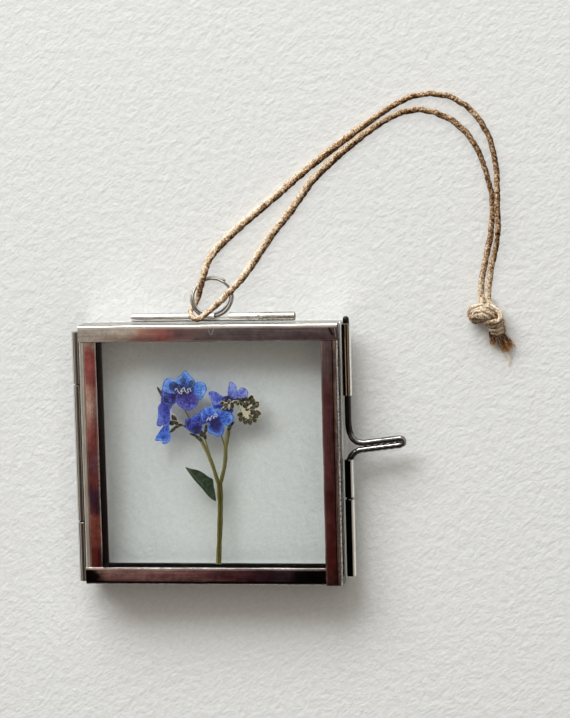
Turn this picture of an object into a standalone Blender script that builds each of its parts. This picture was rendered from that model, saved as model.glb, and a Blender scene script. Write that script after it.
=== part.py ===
"""Small hinged hanging frame, lying on its back: two glazed leaves of folded metal strip, closed by a
sliding wire latch, with a pressed forget-me-not sprig between the panes and a loop of twine."""

import math

import bmesh
import bpy
from mathutils import Matrix, Vector

MM = 0.001

# The leaves. While the object is modelled, the middle of the square is x = y = 0 and the table is z = 0.
SIDE = 50.0 * MM
LEAF_DEPTH = 3.4 * MM
LEAF_GAP = 0.3 * MM
DEPTH = 2 * LEAF_DEPTH + LEAF_GAP
MID = DEPTH / 2
STRIP = 0.35 * MM
FLANGE = 3.3 * MM
LIP = 1.6 * MM
FOLD_RADIUS = 0.45 * MM
FOLD_STEPS = 3
LAP = 0.3 * MM
LAP_INSET = 0.04 * MM
FIT = 0.3 * MM
GLASS = 1.8 * MM

# The rolled tubes of the hinge and the latch, and the wires inside them, all at half the depth.
TUBE = 1.8 * MM
BORE = 1.45 * MM
TUBE_SIDES = 20
TUBE_X = SIDE / 2 + FIT + TUBE / 2
HINGE_PIN = 1.0 * MM
KNUCKLES = {
    "hinge_knuckle_top": (13.5 * MM, 23.5 * MM),
    "hinge_knuckle_middle": (-13.1 * MM, 13.2 * MM),
    "hinge_knuckle_bottom": (-24.9 * MM, -13.4 * MM),
}
LATCH_TUBES = {
    "latch_tube_upper": (10.9 * MM, 24.6 * MM),
    "latch_tube_lower": (-8.55 * MM, -1.3 * MM),
    "latch_receiver": (-23.7 * MM, -8.9 * MM),
}
LATCH_WIRE = 1.05 * MM
LATCH_TOP = 26.0 * MM
LATCH_BOTTOM = -13.4 * MM
# The bent handle between the two straight ends, as (x, y) in millimetres: out, round the tip and back.
HANDLE_OUT = [(26.2, 7.6), (26.2, 5.6), (26.38, 4.1), (26.85, 2.85), (27.7, 2.05), (28.9, 1.8)]
HANDLE_BACK = [(28.9, 0.55), (28.0, 0.4), (27.2, -0.02), (26.6, -0.75), (26.25, -1.6), (26.2, -2.9)]
HANDLE_TIP = Vector((36.0, 2.05)) * MM
HANDLE_LOOP = 0.62 * MM
HANDLE_SLOPE = math.radians(7)
HANDLE_TURN_STEPS = 8
HANDLE_STEP = 0.7 * MM

# The hanger: a thin tube along the top wall, with two slots that let the ring in under a bridge.
HANGER_TUBE = 1.7 * MM
HANGER_BORE = 1.3 * MM
HANGER_GAP = 0.25 * MM
HANGER_ENDS = (-15.1 * MM, 16.5 * MM)
HANGER_Y = SIDE / 2 + HANGER_GAP + HANGER_TUBE / 2
# A slot's near and far end, from the ring's middle, and how far its floor is below the tube's axis.
SLOT = (0.8 * MM, 3.7 * MM)
SLOT_FLOOR = 0.07 * MM

RING_X = 0.23 * MM
RING_RADIUS = 4.0 * MM
RING_WIRE = 0.5 * MM
RING_PITCH = 0.56 * MM
RING_TILT = math.radians(22)
RING_START = math.radians(52)
RING_CROSSING = math.radians(48)
RING_STEPS = 68

# The twine: the strand from the knot to the ring, the bight round the ring, and the way back. The
# route's points are in millimetres, and the curve through them has a point at least every longest step.
TWINE = 1.2 * MM
TWINE_LONGEST_STEP = 3.5 * TWINE
TWINE_ROUTE = [
    (52.75, 28.0, 0.8), (53.05, 31.3, 0.66), (53.5, 34.3, 0.66), (54.4, 37.9, 0.9), (55.1, 42.0, 1.75),
    (55.0, 45.5, 1.85), (55.0, 49.0, 1.55), (54.9, 52.4, 0.85), (54.5, 55.4, 0.66), (53.7, 58.8, 0.66),
    (52.1, 61.9, 0.66), (49.6, 64.8, 0.66), (46.2, 66.8, 0.66), (42.7, 67.3, 0.66), (39.3, 66.9, 0.66),
    (34.6, 64.6, 0.66), (27.2, 59.7, 0.66), (19.8, 54.3, 0.66), (13.0, 48.8, 0.66), (6.2, 43.4, 0.66),
    (1.4, 39.1, 0.7), (-0.3, 36.9, 1.1), (-0.9, 35.2, 1.7), (-1.4, 33.4, 2.1), (-2.05, 31.6, 1.6),
    (-2.75, 29.8, 0.95), (-3.35, 28.5, 1.0), (-4.15, 27.8, 1.7), (-4.5, 27.65, 2.9), (-3.95, 27.5, 4.2),
    (-3.1, 26.95, 4.95), (-2.1, 26.5, 5.25), (-0.8, 26.5, 5.3), (0.75, 27.05, 5.15), (2.7, 28.5, 4.45),
    (4.35, 30.4, 3.6), (6.0, 32.8, 2.4), (7.75, 35.4, 1.4), (9.5, 38.0, 0.8), (11.7, 41.1, 0.66),
    (15.8, 46.0, 0.66), (19.6, 51.1, 0.66), (22.1, 53.6, 0.66), (27.2, 57.9, 0.66), (33.1, 61.9, 0.66),
    (37.5, 64.0, 0.66), (40.4, 64.4, 0.66), (43.2, 63.9, 0.66), (46.6, 62.4, 0.66), (49.5, 59.8, 0.66),
    (51.6, 56.4, 0.66), (52.9, 52.4, 0.66), (53.9, 48.4, 0.62), (54.0, 44.4, 0.62), (53.5, 40.4, 0.62),
    (52.7, 37.0, 0.62), (51.95, 33.6, 0.66), (51.6, 31.0, 0.66), (51.45, 28.0, 0.8),
]
# The knot's lobes, as (x, y, z, length, width, height, turn in degrees), in millimetres.
KNOT_LOBES = [
    (52.35, 26.15, 1.75, 4.6, 3.0, 3.2, -12),
    (50.35, 25.55, 1.5, 2.8, 3.4, 2.7, 0),
    (54.0, 24.4, 1.55, 3.4, 3.6, 2.9, -35),
    (54.2, 22.85, 1.4, 3.2, 2.2, 2.5, -20),
]
KNOT_FACETS = 2
# The two cut ends, which fray: (x, y) at the knot and at the tip, in millimetres.
TWINE_ENDS = {
    "twine_end_left": ((53.35, 21.55), (54.35, 19.3)),
    "twine_end_right": ((54.95, 21.6), (57.0, 18.6)),
}
# Half an end's width and height at the knot and at the tip. Its middle is a little over half its height up.
END_WIDTHS = (0.55 * MM, 1.05 * MM)
END_HEIGHTS = (0.6 * MM, 0.45 * MM)
END_LIFT = 1.15
END_SIDES = 8

# The sprig lies pressed in two layers between the panes.
PRESSED = 0.3 * MM
LOW_LAYER = LEAF_DEPTH - STRIP + PRESSED / 2
HIGH_LAYER = LOW_LAYER + PRESSED + FIT
# A stalk is a flat bar with this section, (across, up), as shares of half its width and height.
STALK_SECTION = [(1, 0), (0.5, 1), (-0.5, 1), (-1, 0), (-0.5, -1), (0.5, -1)]
STALK_STEP = 1.2 * MM
# Petals: the points round a flower, the rings from its centre to its edge, and how full a petal's sides
# are. Heights are shares of PRESSED over the layer's middle: a side, what a ridge adds, and the underside.
# The outermost ring is thinned to its own share of that height.
PETAL_POINTS = 60
PETAL_RINGS = (0.4, 0.75, 1.0)
PETAL_FULLNESS = 1.6
PETAL_SIDE = 0.25
PETAL_RIDGE = 0.25
PETAL_UNDERSIDE = -0.2
PETAL_EDGE_SHARE = 0.45
# A flat piece's wall and the crown inside its edge, as shares of PRESSED, and the width of that edge.
FLAT_WALL = 0.6
FLAT_CROWN = 0.3
FLAT_EDGE = 0.12 * MM
# The stalks: the width at the foot and at the top, and the route, in millimetres.
STALKS = {
    "sprig_stem": (0.98, 0.8, [(0.5, -21.6), (0.85, -16.0), (1.08, -11.0), (1.1, -7.6), (1.05, -5.9)]),
    "sprig_branch_left": (0.62, 0.5, [
        (0.72, -5.0), (0.05, -3.0), (-0.8, -1.14), (-1.9, 1.15), (-2.3, 2.1)]),
    "sprig_branch_right": (0.66, 0.55, [
        (1.4, -5.0), (1.95, -3.0), (2.39, -0.54), (2.56, 1.42), (3.02, 3.45)]),
    "sprig_stalk_left": (0.32, 0.3, [(-0.02, -1.5), (-0.55, -0.3), (-1.05, 0.85), (-1.3, 1.75)]),
    "sprig_stalk_right": (0.3, 0.26, [(2.05, 0.9), (1.85, 1.9), (1.65, 2.7), (1.45, 3.5)]),
    "sprig_stalk_top": (0.34, 0.3, [(-4.35, 5.2), (-4.65, 6.6), (-5.05, 7.9), (-5.6, 9.0)]),
}
# Flowers and bud clusters, as a centre and petals: (tip x, tip y, half width in degrees, bluntness).
ROSETTES = {
    "flower_top_left": (HIGH_LAYER, (-5.2, 11.9), 1.9, [
        (-4.96, 15.98, 36, 0.75), (-9.2, 13.9, 34, 0.45), (-0.98, 12.0, 40, 0.42), (-4.1, 8.3, 44, 0.5),
        (-7.9, 9.5, 40, 0.5)]),
    "flower_small": (HIGH_LAYER, (-3.75, 5.65), 1.0, [
        (-4.95, 6.95, 34, 0.6), (-2.95, 7.7, 30, 0.8), (-2.3, 5.9, 34, 0.5), (-3.5, 3.7, 42, 0.6),
        (-5.2, 4.9, 40, 0.6)]),
    "flower_centre": (HIGH_LAYER, (0.6, 6.0), 1.9, [
        (-1.35, 8.3, 34, 0.45), (0.4, 8.95, 26, 0.6), (4.25, 6.95, 34, 0.5), (1.25, 3.05, 42, 0.6),
        (-1.05, 4.2, 30, 0.6)]),
    "flower_upper_right": (HIGH_LAYER, (3.0, 10.5), 1.0, [
        (-0.3, 11.75, 26, 0.45), (3.8, 13.7, 24, 0.7), (6.85, 12.0, 26, 0.45), (4.55, 10.0, 40, 0.6),
        (1.6, 9.7, 40, 0.6)]),
    "bud_cluster_right": (LOW_LAYER, (6.65, 8.2), 1.25, [
        (4.75, 9.5, 20, 0.45), (5.3, 10.95, 18, 0.45), (6.5, 11.3, 16, 0.45), (8.1, 10.75, 20, 0.45),
        (9.0, 9.0, 20, 0.45), (9.5, 7.55, 18, 0.45), (8.6, 6.05, 18, 0.45), (7.4, 5.4, 16, 0.45),
        (6.2, 5.3, 16, 0.45), (5.1, 6.1, 20, 0.45), (4.85, 7.4, 20, 0.45)]),
    "bud_cluster_left": (LOW_LAYER, (-6.65, 5.5), 0.7, [
        (-7.9, 5.95, 24, 0.45), (-7.75, 6.85, 20, 0.5), (-6.85, 7.1, 22, 0.5), (-5.75, 5.25, 34, 0.8),
        (-7.35, 4.05, 30, 0.5)]),
}
# Flat pieces by their outlines, in millimetres.
OUTLINES = {
    "sprig_leaf": (LOW_LAYER, [
        (-5.45, -2.72), (-4.4, -2.72), (-3.2, -3.15), (-1.8, -4.05), (-0.55, -5.15), (0.15, -6.4),
        (0.3, -7.9), (0.1, -9.2), (-0.8, -8.75), (-2.1, -7.3), (-3.5, -5.5), (-4.7, -3.95)]),
    "flower_hanging": (LOW_LAYER, [
        (-7.4, 10.9), (-8.6, 11.4), (-9.6, 11.0), (-10.1, 9.9), (-10.5, 8.6), (-10.55, 7.1), (-10.8, 5.3),
        (-10.3, 4.6), (-11.1, 2.6), (-10.3, 2.3), (-9.9, 1.87), (-9.2, 1.92), (-8.5, 2.8), (-8.5, 4.4),
        (-8.55, 5.6), (-8.4, 7.7), (-8.1, 9.2)]),
    "calyx_left": (LOW_LAYER, [
        (-1.95, 2.35), (-2.7, 2.75), (-3.9, 3.8), (-2.95, 3.75), (-2.6, 4.7), (-2.05, 4.35), (-1.35, 5.0),
        (-1.15, 3.9), (-1.2, 2.9), (-1.35, 2.2)]),
    "calyx_right": (LOW_LAYER, [
        (2.95, 3.95), (2.95, 4.8), (3.2, 5.75), (3.7, 5.1), (4.15, 5.6), (3.85, 4.6), (3.45, 3.9)]),
    "sepal_tip": (LOW_LAYER, [(-9.85, 11.75), (-10.75, 12.7), (-10.1, 12.6), (-9.4, 11.95)]),
}

# The origin: under the middle of the box round everything but the twine.
LEFT_END = -TUBE_X - TUBE / 2
RIGHT_END = HANDLE_TIP.x + HANDLE_LOOP + LATCH_WIRE / 2
LOW_END = -SIDE / 2
HIGH_END = (
    HANGER_Y
    + 2 * RING_RADIUS * math.cos(RING_TILT)
    + RING_PITCH / 2 * math.sin(RING_TILT)
    + RING_WIRE / 2
)
ORIGIN = Vector(((LEFT_END + RIGHT_END) / 2, (LOW_END + HIGH_END) / 2, 0))

CREASE = math.radians(35)
GLASS_IOR = 1.5
# Each material's colour, roughness and metallic value.
FINISHES = {
    "polished_metal": ((0.62, 0.59, 0.56), 0.16, 1.0),
    "dark_wire": ((0.16, 0.15, 0.15), 0.25, 1.0),
    "clear_glass": ((0.88, 0.96, 0.93), 0.03, 0.0),
    "jute_twine": ((0.55, 0.41, 0.25), 0.9, 0.0),
    "stem_green": ((0.36, 0.36, 0.14), 0.7, 0.0),
    "leaf_green": ((0.03, 0.09, 0.04), 0.65, 0.0),
    "petal_blue": ((0.06, 0.12, 0.62), 0.6, 0.0),
    "calyx_brown": ((0.06, 0.055, 0.04), 0.8, 0.0),
}


def clear_scene():
    for leftover in list(bpy.data.objects):
        bpy.data.objects.remove(leftover)


def material(name):
    """The Principled material of that name, made the first time it is asked for."""
    if name in bpy.data.materials:
        return bpy.data.materials[name]
    colour, roughness, metallic = FINISHES[name]
    made = bpy.data.materials.new(name)
    made.use_nodes = True
    shader = made.node_tree.nodes["Principled BSDF"]
    shader.inputs["Base Color"].default_value = (*colour, 1)
    shader.inputs["Roughness"].default_value = roughness
    shader.inputs["Metallic"].default_value = metallic
    if name == "clear_glass":
        shader.inputs["Transmission Weight"].default_value = 1.0
        shader.inputs["IOR"].default_value = GLASS_IOR
    return made


def empty(name, place, parent=None):
    made = bpy.data.objects.new(name, None)
    bpy.context.collection.objects.link(made)
    made.parent = parent
    made.location = place - (parent.matrix_world.translation + ORIGIN if parent else ORIGIN)
    bpy.context.view_layer.update()
    return made


def add(name, data, finish, body, smooth=True):
    """An object on a body's empty, with its shape moved so that it stays where it was modelled."""
    made = bpy.data.objects.new(name, data)
    bpy.context.collection.objects.link(made)
    made.parent = body
    data.transform(Matrix.Translation(-(body.matrix_world.translation + ORIGIN)))
    data.materials.append(material(finish))
    if smooth and isinstance(data, bpy.types.Mesh):
        data.shade_smooth()
        data.set_sharp_from_angle(angle=CREASE)
    return made


def finished_mesh(name, shape):
    bmesh.ops.recalc_face_normals(shape, faces=shape.faces)
    data = bpy.data.meshes.new(name)
    shape.to_mesh(data)
    shape.free()
    return data


def loft(name, loops):
    """A closed mesh that joins loops of points in order and caps its two ends."""
    shape = bmesh.new()
    rows = [[shape.verts.new(point) for point in loop] for loop in loops]
    for near, far in zip(rows, rows[1:]):
        for i, corner in enumerate(near):
            following = (i + 1) % len(near)
            shape.faces.new((corner, near[following], far[following], far[i]))
    shape.faces.new(reversed(rows[0]))
    shape.faces.new(rows[-1])
    return finished_mesh(name, shape)


def box(name, low, high):
    shape = bmesh.new()
    bmesh.ops.create_cube(shape, size=1)
    bmesh.ops.scale(shape, vec=high - low, verts=shape.verts)
    bmesh.ops.translate(shape, vec=(high + low) / 2, verts=shape.verts)
    return finished_mesh(name, shape)


def smooth_route(points, longest):
    """The Catmull-Rom curve through the given points, with more points where they are far apart."""
    knots = [Vector(point) for point in points]
    knots = [2 * knots[0] - knots[1], *knots, 2 * knots[-1] - knots[-2]]
    route = []
    for a, b, c, d in zip(knots, knots[1:], knots[2:], knots[3:]):
        parts = max(1, math.ceil((c - b).length / longest))
        squared = 2 * a - 5 * b + 4 * c - d
        cubed = 3 * b - a - 3 * c + d
        for t in (i / parts for i in range(parts)):
            route.append((2 * b + (c - a) * t + squared * t**2 + cubed * t**3) / 2)
    return [*route, knots[-2]]


def wire(name, route, diameter, finish, body):
    """A round wire along a route, as a curve with filled ends."""
    data = bpy.data.curves.new(name, "CURVE")
    data.dimensions = "3D"
    data.bevel_depth = diameter / 2
    data.bevel_resolution = 2
    data.use_fill_caps = True
    spline = data.splines.new("POLY")
    spline.points.add(len(route) - 1)
    for point, place in zip(spline.points, route):
        point.co = (*place, 1)
    return add(name, data, finish, body)


def guide(target, data, body, operation, solver="EXACT"):
    """Joins a hidden shape to the target, or cuts it away, with a Boolean."""
    helper = add(data.name, data, "polished_metal", body, smooth=False)
    helper.hide_render = True
    helper.display_type = "WIRE"
    modifier = target.modifiers.new(data.name, "BOOLEAN")
    modifier.operation = operation
    modifier.solver = solver
    modifier.object = helper


def rail_section(level):
    """(out, up) points round the folded strip: wall, rounded fold, flange and inner lip."""
    top = LEAF_DEPTH - LAP * (1 - level)
    edge = SIDE / 2
    fold = [
        (edge - FOLD_RADIUS * (1 - math.cos(a)), top - FOLD_RADIUS * (1 - math.sin(a)))
        for a in (math.pi / 2 * i / FOLD_STEPS for i in range(FOLD_STEPS + 1))
    ]
    return [
        (edge, 0),
        *fold,
        (edge - FLANGE, top),
        (edge - FLANGE, top - STRIP),
        (edge - STRIP, top - STRIP),
        (edge - STRIP, STRIP),
        (edge - LIP, STRIP),
        (edge - LIP, 0),
    ]


def rail(name, turn, start_level, end_level, inset):
    """One side of a leaf. Its flange climbs from one level to the other, where it laps a neighbour."""
    reach = SIDE / 2 - inset
    loops = [
        [(x, out, up) for out, up in rail_section(level)]
        for x, level in ((-reach, start_level), (reach, end_level))
    ]
    data = loft(name, loops)
    data.transform(Matrix.Rotation(turn, 4, "Z"))
    return data


def leaf_frame(name, place, body):
    """A strip folded round a pane. The top laps both sides; the bottom laps one, and one laps it."""
    sides = [
        rail(name, 0, 1, 1, 0),
        rail(f"{name}_left", math.pi / 2, 0, 0, LAP_INSET),
        rail(f"{name}_bottom", math.pi, 0, 1, LAP_INSET / 2),
        rail(f"{name}_right", -math.pi / 2, 0, 1, LAP_INSET),
    ]
    for data in sides:
        data.transform(place)
    made = add(name, sides[0], "polished_metal", body)
    for data in sides[1:]:
        guide(made, data, body, "UNION", solver="MANIFOLD")


def pane(name, low, body):
    half = SIDE / 2 - STRIP - FIT
    data = box(name, Vector((-half, -half, low)), Vector((half, half, low + GLASS)))
    add(name, data, "clear_glass", body, smooth=False)


def rolled_tube(name, middle, axis, ends, bore, diameter):
    """A tube along X or Y, made by turning its wall's rectangle. Its ends are measured from the middle."""
    across = Vector((axis.y, axis.x, 0))
    shape = bmesh.new()
    corners = [middle + axis * end + across * r / 2 for r in (bore, diameter) for end in ends]
    a, b, c, d = (shape.verts.new(corner) for corner in corners)
    edges = [shape.edges.new(pair) for pair in ((a, b), (b, d), (d, c), (c, a))]
    bmesh.ops.spin(
        shape, geom=[a, b, c, d, *edges], cent=middle, axis=axis,
        angle=math.tau, steps=TUBE_SIDES, use_merge=True,
    )
    return finished_mesh(name, shape)


def side_tube(name, x, ends, body):
    data = rolled_tube(name, Vector((x, 0, MID)), Vector((0, 1, 0)), ends, BORE, TUBE)
    add(name, data, "polished_metal", body)


def hinge(back, front):
    for name, ends in KNUCKLES.items():
        side_tube(name, -TUBE_X, ends, back if name == "hinge_knuckle_middle" else front)
    low, high = KNUCKLES["hinge_knuckle_bottom"][0], KNUCKLES["hinge_knuckle_top"][1]
    ends = [Vector((-TUBE_X, y, MID)) for y in (low + STRIP, high - STRIP)]
    wire("hinge_pin", ends, HINGE_PIN, "polished_metal", back)


def latch_route():
    """The latch wire's centreline, from its free top end round the handle to its lower end."""
    along = Vector((math.cos(HANDLE_SLOPE), math.sin(HANDLE_SLOPE)))
    across = Vector((-along.y, along.x))
    turn = [
        HANDLE_TIP + HANDLE_LOOP * (math.sin(a) * along + math.cos(a) * across)
        for a in (math.pi * i / HANDLE_TURN_STEPS for i in range(HANDLE_TURN_STEPS + 1))
    ]
    out = smooth_route([Vector((*point, 0)) * MM for point in HANDLE_OUT], HANDLE_STEP)
    back = smooth_route([Vector((*point, 0)) * MM for point in HANDLE_BACK], HANDLE_STEP)
    flat = [Vector((TUBE_X, LATCH_TOP)), *out, *turn, *back, Vector((TUBE_X, LATCH_BOTTOM))]
    return [Vector((point.x, point.y, MID)) for point in flat]


def latch(back, front, slide):
    for name, ends in LATCH_TUBES.items():
        side_tube(name, TUBE_X, ends, back if name == "latch_receiver" else front)
    wire("latch_wire", latch_route(), LATCH_WIRE, "dark_wire", slide)


def hanger(body):
    """The tube along the top wall. Two slots in its outer half leave a bridge over the ring."""
    middle = Vector((0, HANGER_Y, MID))
    data = rolled_tube("hanger_tube", middle, Vector((1, 0, 0)), HANGER_ENDS, HANGER_BORE, HANGER_TUBE)
    made = add("hanger_tube", data, "polished_metal", body)
    for side in (-1, 1):
        near, far = sorted(RING_X + side * reach for reach in SLOT)
        low = Vector((near, HANGER_Y - SLOT_FLOOR, MID - HANGER_TUBE))
        high = Vector((far, HANGER_Y + HANGER_TUBE, MID + HANGER_TUBE))
        guide(made, box(f"hanger_slot_{'left' if side < 0 else 'right'}", low, high), body, "DIFFERENCE")


def ring_route():
    """Two turns of wire, one on the other, with a short crossing where the first climbs onto the second."""
    total = 2 * math.tau - RING_CROSSING
    lean = Matrix.Rotation(-RING_TILT, 3, "X")
    foot = Vector((RING_X, HANGER_Y, MID))
    route = []
    for i in range(RING_STEPS + 1):
        turned = total * i / RING_STEPS
        climb = min(max((turned - math.tau + RING_CROSSING) / RING_CROSSING, 0), 1)
        rise = RING_PITCH * (climb * climb * (3 - 2 * climb) - 0.5)
        angle = RING_START + turned
        flat = Vector((RING_RADIUS * math.cos(angle), RING_RADIUS * (1 + math.sin(angle)), rise))
        route.append(foot + lean @ flat)
    return route


def knot(body):
    """The overhand knot's outer shape: its lobes, joined."""
    made = None
    for number, (x, y, z, length, width, height, turn) in enumerate(KNOT_LOBES):
        shape = bmesh.new()
        bmesh.ops.create_icosphere(shape, subdivisions=KNOT_FACETS, radius=MM / 2)
        bmesh.ops.scale(shape, vec=(length, width, height), verts=shape.verts)
        place = Matrix.Translation(Vector((x, y, z)) * MM) @ Matrix.Rotation(math.radians(turn), 4, "Z")
        bmesh.ops.transform(shape, matrix=place, verts=shape.verts)
        if made is None:
            made = add("twine_knot", finished_mesh("twine_knot", shape), "jute_twine", body)
        else:
            guide(made, finished_mesh(f"knot_lobe_{number}", shape), body, "UNION")


def twine(body):
    route = smooth_route([Vector(point) * MM for point in TWINE_ROUTE], TWINE_LONGEST_STEP)
    wire("twine_loop", route, TWINE, "jute_twine", body)
    knot(body)
    angles = [math.tau * (i + 0.5) / END_SIDES for i in range(END_SIDES)]
    for name, ends in TWINE_ENDS.items():
        start, tip = (Vector((*end, 0)) * MM for end in ends)
        across = (tip - start).normalized().cross(Vector((0, 0, 1)))
        loops = []
        for place, width, height in zip((start, tip), END_WIDTHS, END_HEIGHTS):
            rise = Vector((0, 0, height))
            middle = place + END_LIFT * rise
            loops.append([middle + width * math.cos(a) * across + rise * math.sin(a) for a in angles])
        add(name, loft(name, loops), "jute_twine", body)


def stalk(name, foot, top, points, body):
    """A pressed stalk: a flattened six-sided bar that tapers along its route."""
    route = smooth_route([Vector((*point, 0)) * MM for point in points], STALK_STEP)
    loops = []
    for i, place in enumerate(route):
        along = (route[min(i + 1, len(route) - 1)] - route[max(i - 1, 0)]).normalized()
        across = Vector((along.y, -along.x, 0))
        share = i / (len(route) - 1)
        side = across * (foot * (1 - share) + top * share) / 2 * MM
        rise = Vector((0, 0, PRESSED / 2))
        middle = place + Vector((0, 0, LOW_LAYER))
        loops.append([middle + side * u + rise * v for u, v in STALK_SECTION])
    add(name, loft(name, loops), "stem_green", body)


def petal_edge(middle, core, petals, angle):
    """How far a flower reaches at an angle, and how near that is to a petal's middle line, from 0 to 1."""
    reach, ridge = core, 0.0
    for x, y, half, blunt in petals:
        tip = Vector((x, y)) - middle
        off = (angle - math.atan2(tip.y, tip.x) + math.pi) % math.tau - math.pi
        share = abs(off) / math.radians(half)
        length = tip.length * max(1 - share**PETAL_FULLNESS, 0) ** blunt
        if length > reach:
            reach, ridge = length, 1 - share
    return reach, ridge


def rosette(name, layer, centre, core, petals, finish, body):
    """A pressed flower or bud cluster: petals round a core, ridged along their middles, with thin edges."""
    middle = Vector(centre)
    shape = bmesh.new()
    top = shape.verts.new((*(middle * MM), layer + PRESSED / 2))
    bottom = shape.verts.new((*(middle * MM), layer - PRESSED / 2))
    rows = [[] for _ in range(len(PETAL_RINGS) + 1)]
    for angle in (math.tau * i / PETAL_POINTS for i in range(PETAL_POINTS)):
        reach, ridge = petal_edge(middle, core, petals, angle)
        way = Vector((math.cos(angle), math.sin(angle))) * reach
        for row, part in zip(rows, PETAL_RINGS):
            height = (PETAL_SIDE + PETAL_RIDGE * ridge) * (1 if part < 1 else PETAL_EDGE_SHARE)
            row.append(shape.verts.new((*((middle + way * part) * MM), layer + PRESSED * height)))
        rows[-1].append(shape.verts.new((*((middle + way) * MM), layer + PRESSED * PETAL_UNDERSIDE)))
    for i in range(PETAL_POINTS):
        following = (i + 1) % PETAL_POINTS
        shape.faces.new((top, rows[0][i], rows[0][following]))
        for near, far in zip(rows, rows[1:]):
            shape.faces.new((near[i], far[i], far[following], near[following]))
        shape.faces.new((bottom, rows[-1][following], rows[-1][i]))
    add(name, finished_mesh(name, shape), finish, body)


def flat_piece(name, layer, outline, finish, body):
    """A pressed piece by its outline, thickest along its middle."""
    shape = bmesh.new()
    low = layer - PRESSED / 2
    face = shape.faces.new([shape.verts.new((x * MM, y * MM, low)) for x, y in outline])
    grown = bmesh.ops.extrude_face_region(shape, geom=[face])
    lifted = [part for part in grown["geom"] if isinstance(part, bmesh.types.BMVert)]
    bmesh.ops.translate(shape, vec=(0, 0, PRESSED * FLAT_WALL), verts=lifted)
    upper = [part for part in grown["geom"] if isinstance(part, bmesh.types.BMFace)]
    bmesh.ops.inset_region(shape, faces=upper, thickness=FLAT_EDGE, depth=PRESSED * FLAT_CROWN)
    add(name, finished_mesh(name, shape), finish, body)


def sprig(body):
    for name, (foot, top, points) in STALKS.items():
        stalk(name, foot, top, points, body)
    for name, (layer, centre, core, petals) in ROSETTES.items():
        finish = "calyx_brown" if name.startswith("bud") else "petal_blue"
        rosette(name, layer, centre, core, petals, finish, body)
    finishes = {"sprig_leaf": "leaf_green", "flower_hanging": "petal_blue"}
    for name, (layer, outline) in OUTLINES.items():
        flat_piece(name, layer, outline, finishes.get(name, "calyx_brown"), body)


def build():
    clear_scene()
    back = empty("back_leaf", Vector((0, 0, 0)))
    front = empty("front_leaf_hinge", Vector((-TUBE_X, 0, MID)), back)
    slide = empty("latch_slide", Vector((TUBE_X, 0, MID)), front)
    flipped = Matrix.Translation((0, 0, LEAF_DEPTH)) @ Matrix.Rotation(math.pi, 4, "Y")
    leaf_frame("back_frame", flipped, back)
    leaf_frame("front_frame", Matrix.Translation((0, 0, LEAF_DEPTH + LEAF_GAP)), front)
    clearance = LAP + STRIP + FIT
    pane("back_glass", clearance, back)
    pane("front_glass", DEPTH - clearance - GLASS, front)
    hinge(back, front)
    latch(back, front, slide)
    hanger(back)
    wire("hanging_ring", ring_route(), RING_WIRE, "polished_metal", back)
    twine(back)
    sprig(back)


build()
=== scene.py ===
# %% [markdown]
# # Dressing a pressed flower frame
#
# The object is a little hanging frame: two panes of glass held in folded metal strip, hinged on the
# left, shut by a wire latch on the right and hung on a loop of jute twine. A forget-me-not sprig is
# pressed between the panes. The plain solids already have their true sizes and places. This lesson
# gives each of them its real surface. We load them first, because everything else is fitted to them.

# %% Load the measured model
import math

import bmesh
import bpy
from mathutils import Matrix, Vector, noise


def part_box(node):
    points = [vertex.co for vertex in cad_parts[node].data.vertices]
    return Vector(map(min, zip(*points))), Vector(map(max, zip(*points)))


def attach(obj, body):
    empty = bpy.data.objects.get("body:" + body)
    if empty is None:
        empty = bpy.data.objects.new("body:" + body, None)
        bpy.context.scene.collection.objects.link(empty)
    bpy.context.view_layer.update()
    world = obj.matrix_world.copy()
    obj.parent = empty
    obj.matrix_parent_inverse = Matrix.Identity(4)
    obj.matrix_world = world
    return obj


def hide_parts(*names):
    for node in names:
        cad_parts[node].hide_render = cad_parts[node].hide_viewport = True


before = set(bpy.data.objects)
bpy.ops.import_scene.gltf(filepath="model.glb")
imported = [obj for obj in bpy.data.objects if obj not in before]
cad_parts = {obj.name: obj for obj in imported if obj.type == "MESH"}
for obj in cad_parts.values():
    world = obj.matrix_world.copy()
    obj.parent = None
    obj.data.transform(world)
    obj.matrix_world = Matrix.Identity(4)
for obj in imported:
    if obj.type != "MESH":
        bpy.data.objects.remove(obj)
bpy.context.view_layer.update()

# %% [markdown]
# ## A workbench in millimetres
#
# A maker measures such a frame from the middle of its glass, in millimetres. The model is in metres
# and has its own origin, so one small function turns a bench measure into a place in the model. The
# middle is read from the pane itself, which keeps the lesson right if the model is ever moved.

# %% Measure from the middle of the glass
MM = 0.001
pane_low, pane_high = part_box("front_glass")
MIDDLE = Vector(((pane_low.x + pane_high.x) / 2, (pane_low.y + pane_high.y) / 2, 0))


def place(x, y, z):
    return MIDDLE + Vector((x, y, z)) * MM


print("middle of the glass:", [round(value / MM, 2) for value in MIDDLE], "mm")

# %% [markdown]
# ## The camera
#
# The frame lies flat and is seen from almost straight above, a little from the right and the top. A
# long lens from half a metre away keeps its sides nearly parallel. Height and tilt were worked out
# from the frame's corners, so the camera is placed by numbers and not by eye.

# %% Set the camera
CAMERA_PLACE = place(99.6, 70.0, 493.4)
CAMERA_TURN = (-6.235, 9.710, -1.516)
CAMERA_LENS = 132.2

camera = bpy.data.objects.new("camera", bpy.data.cameras.new("camera"))
camera.data.lens = CAMERA_LENS
camera.location = CAMERA_PLACE
camera.rotation_euler = [math.radians(turn) for turn in CAMERA_TURN]
bpy.context.collection.objects.link(camera)
bpy.context.scene.camera = camera
bpy.context.scene.view_settings.view_transform = "Standard"
print("camera height:", round(camera.location.z, 3), "m")

# %% [markdown]
# ## A few helpers for nodes
#
# Materials and Geometry Nodes are both trees of nodes joined by links. Adding a node takes three
# steps in Python: make it, set its options, fill its sockets. One helper does all three and hands
# back the socket that the next node needs. That lets a tree be read from top to bottom like a recipe.

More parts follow.
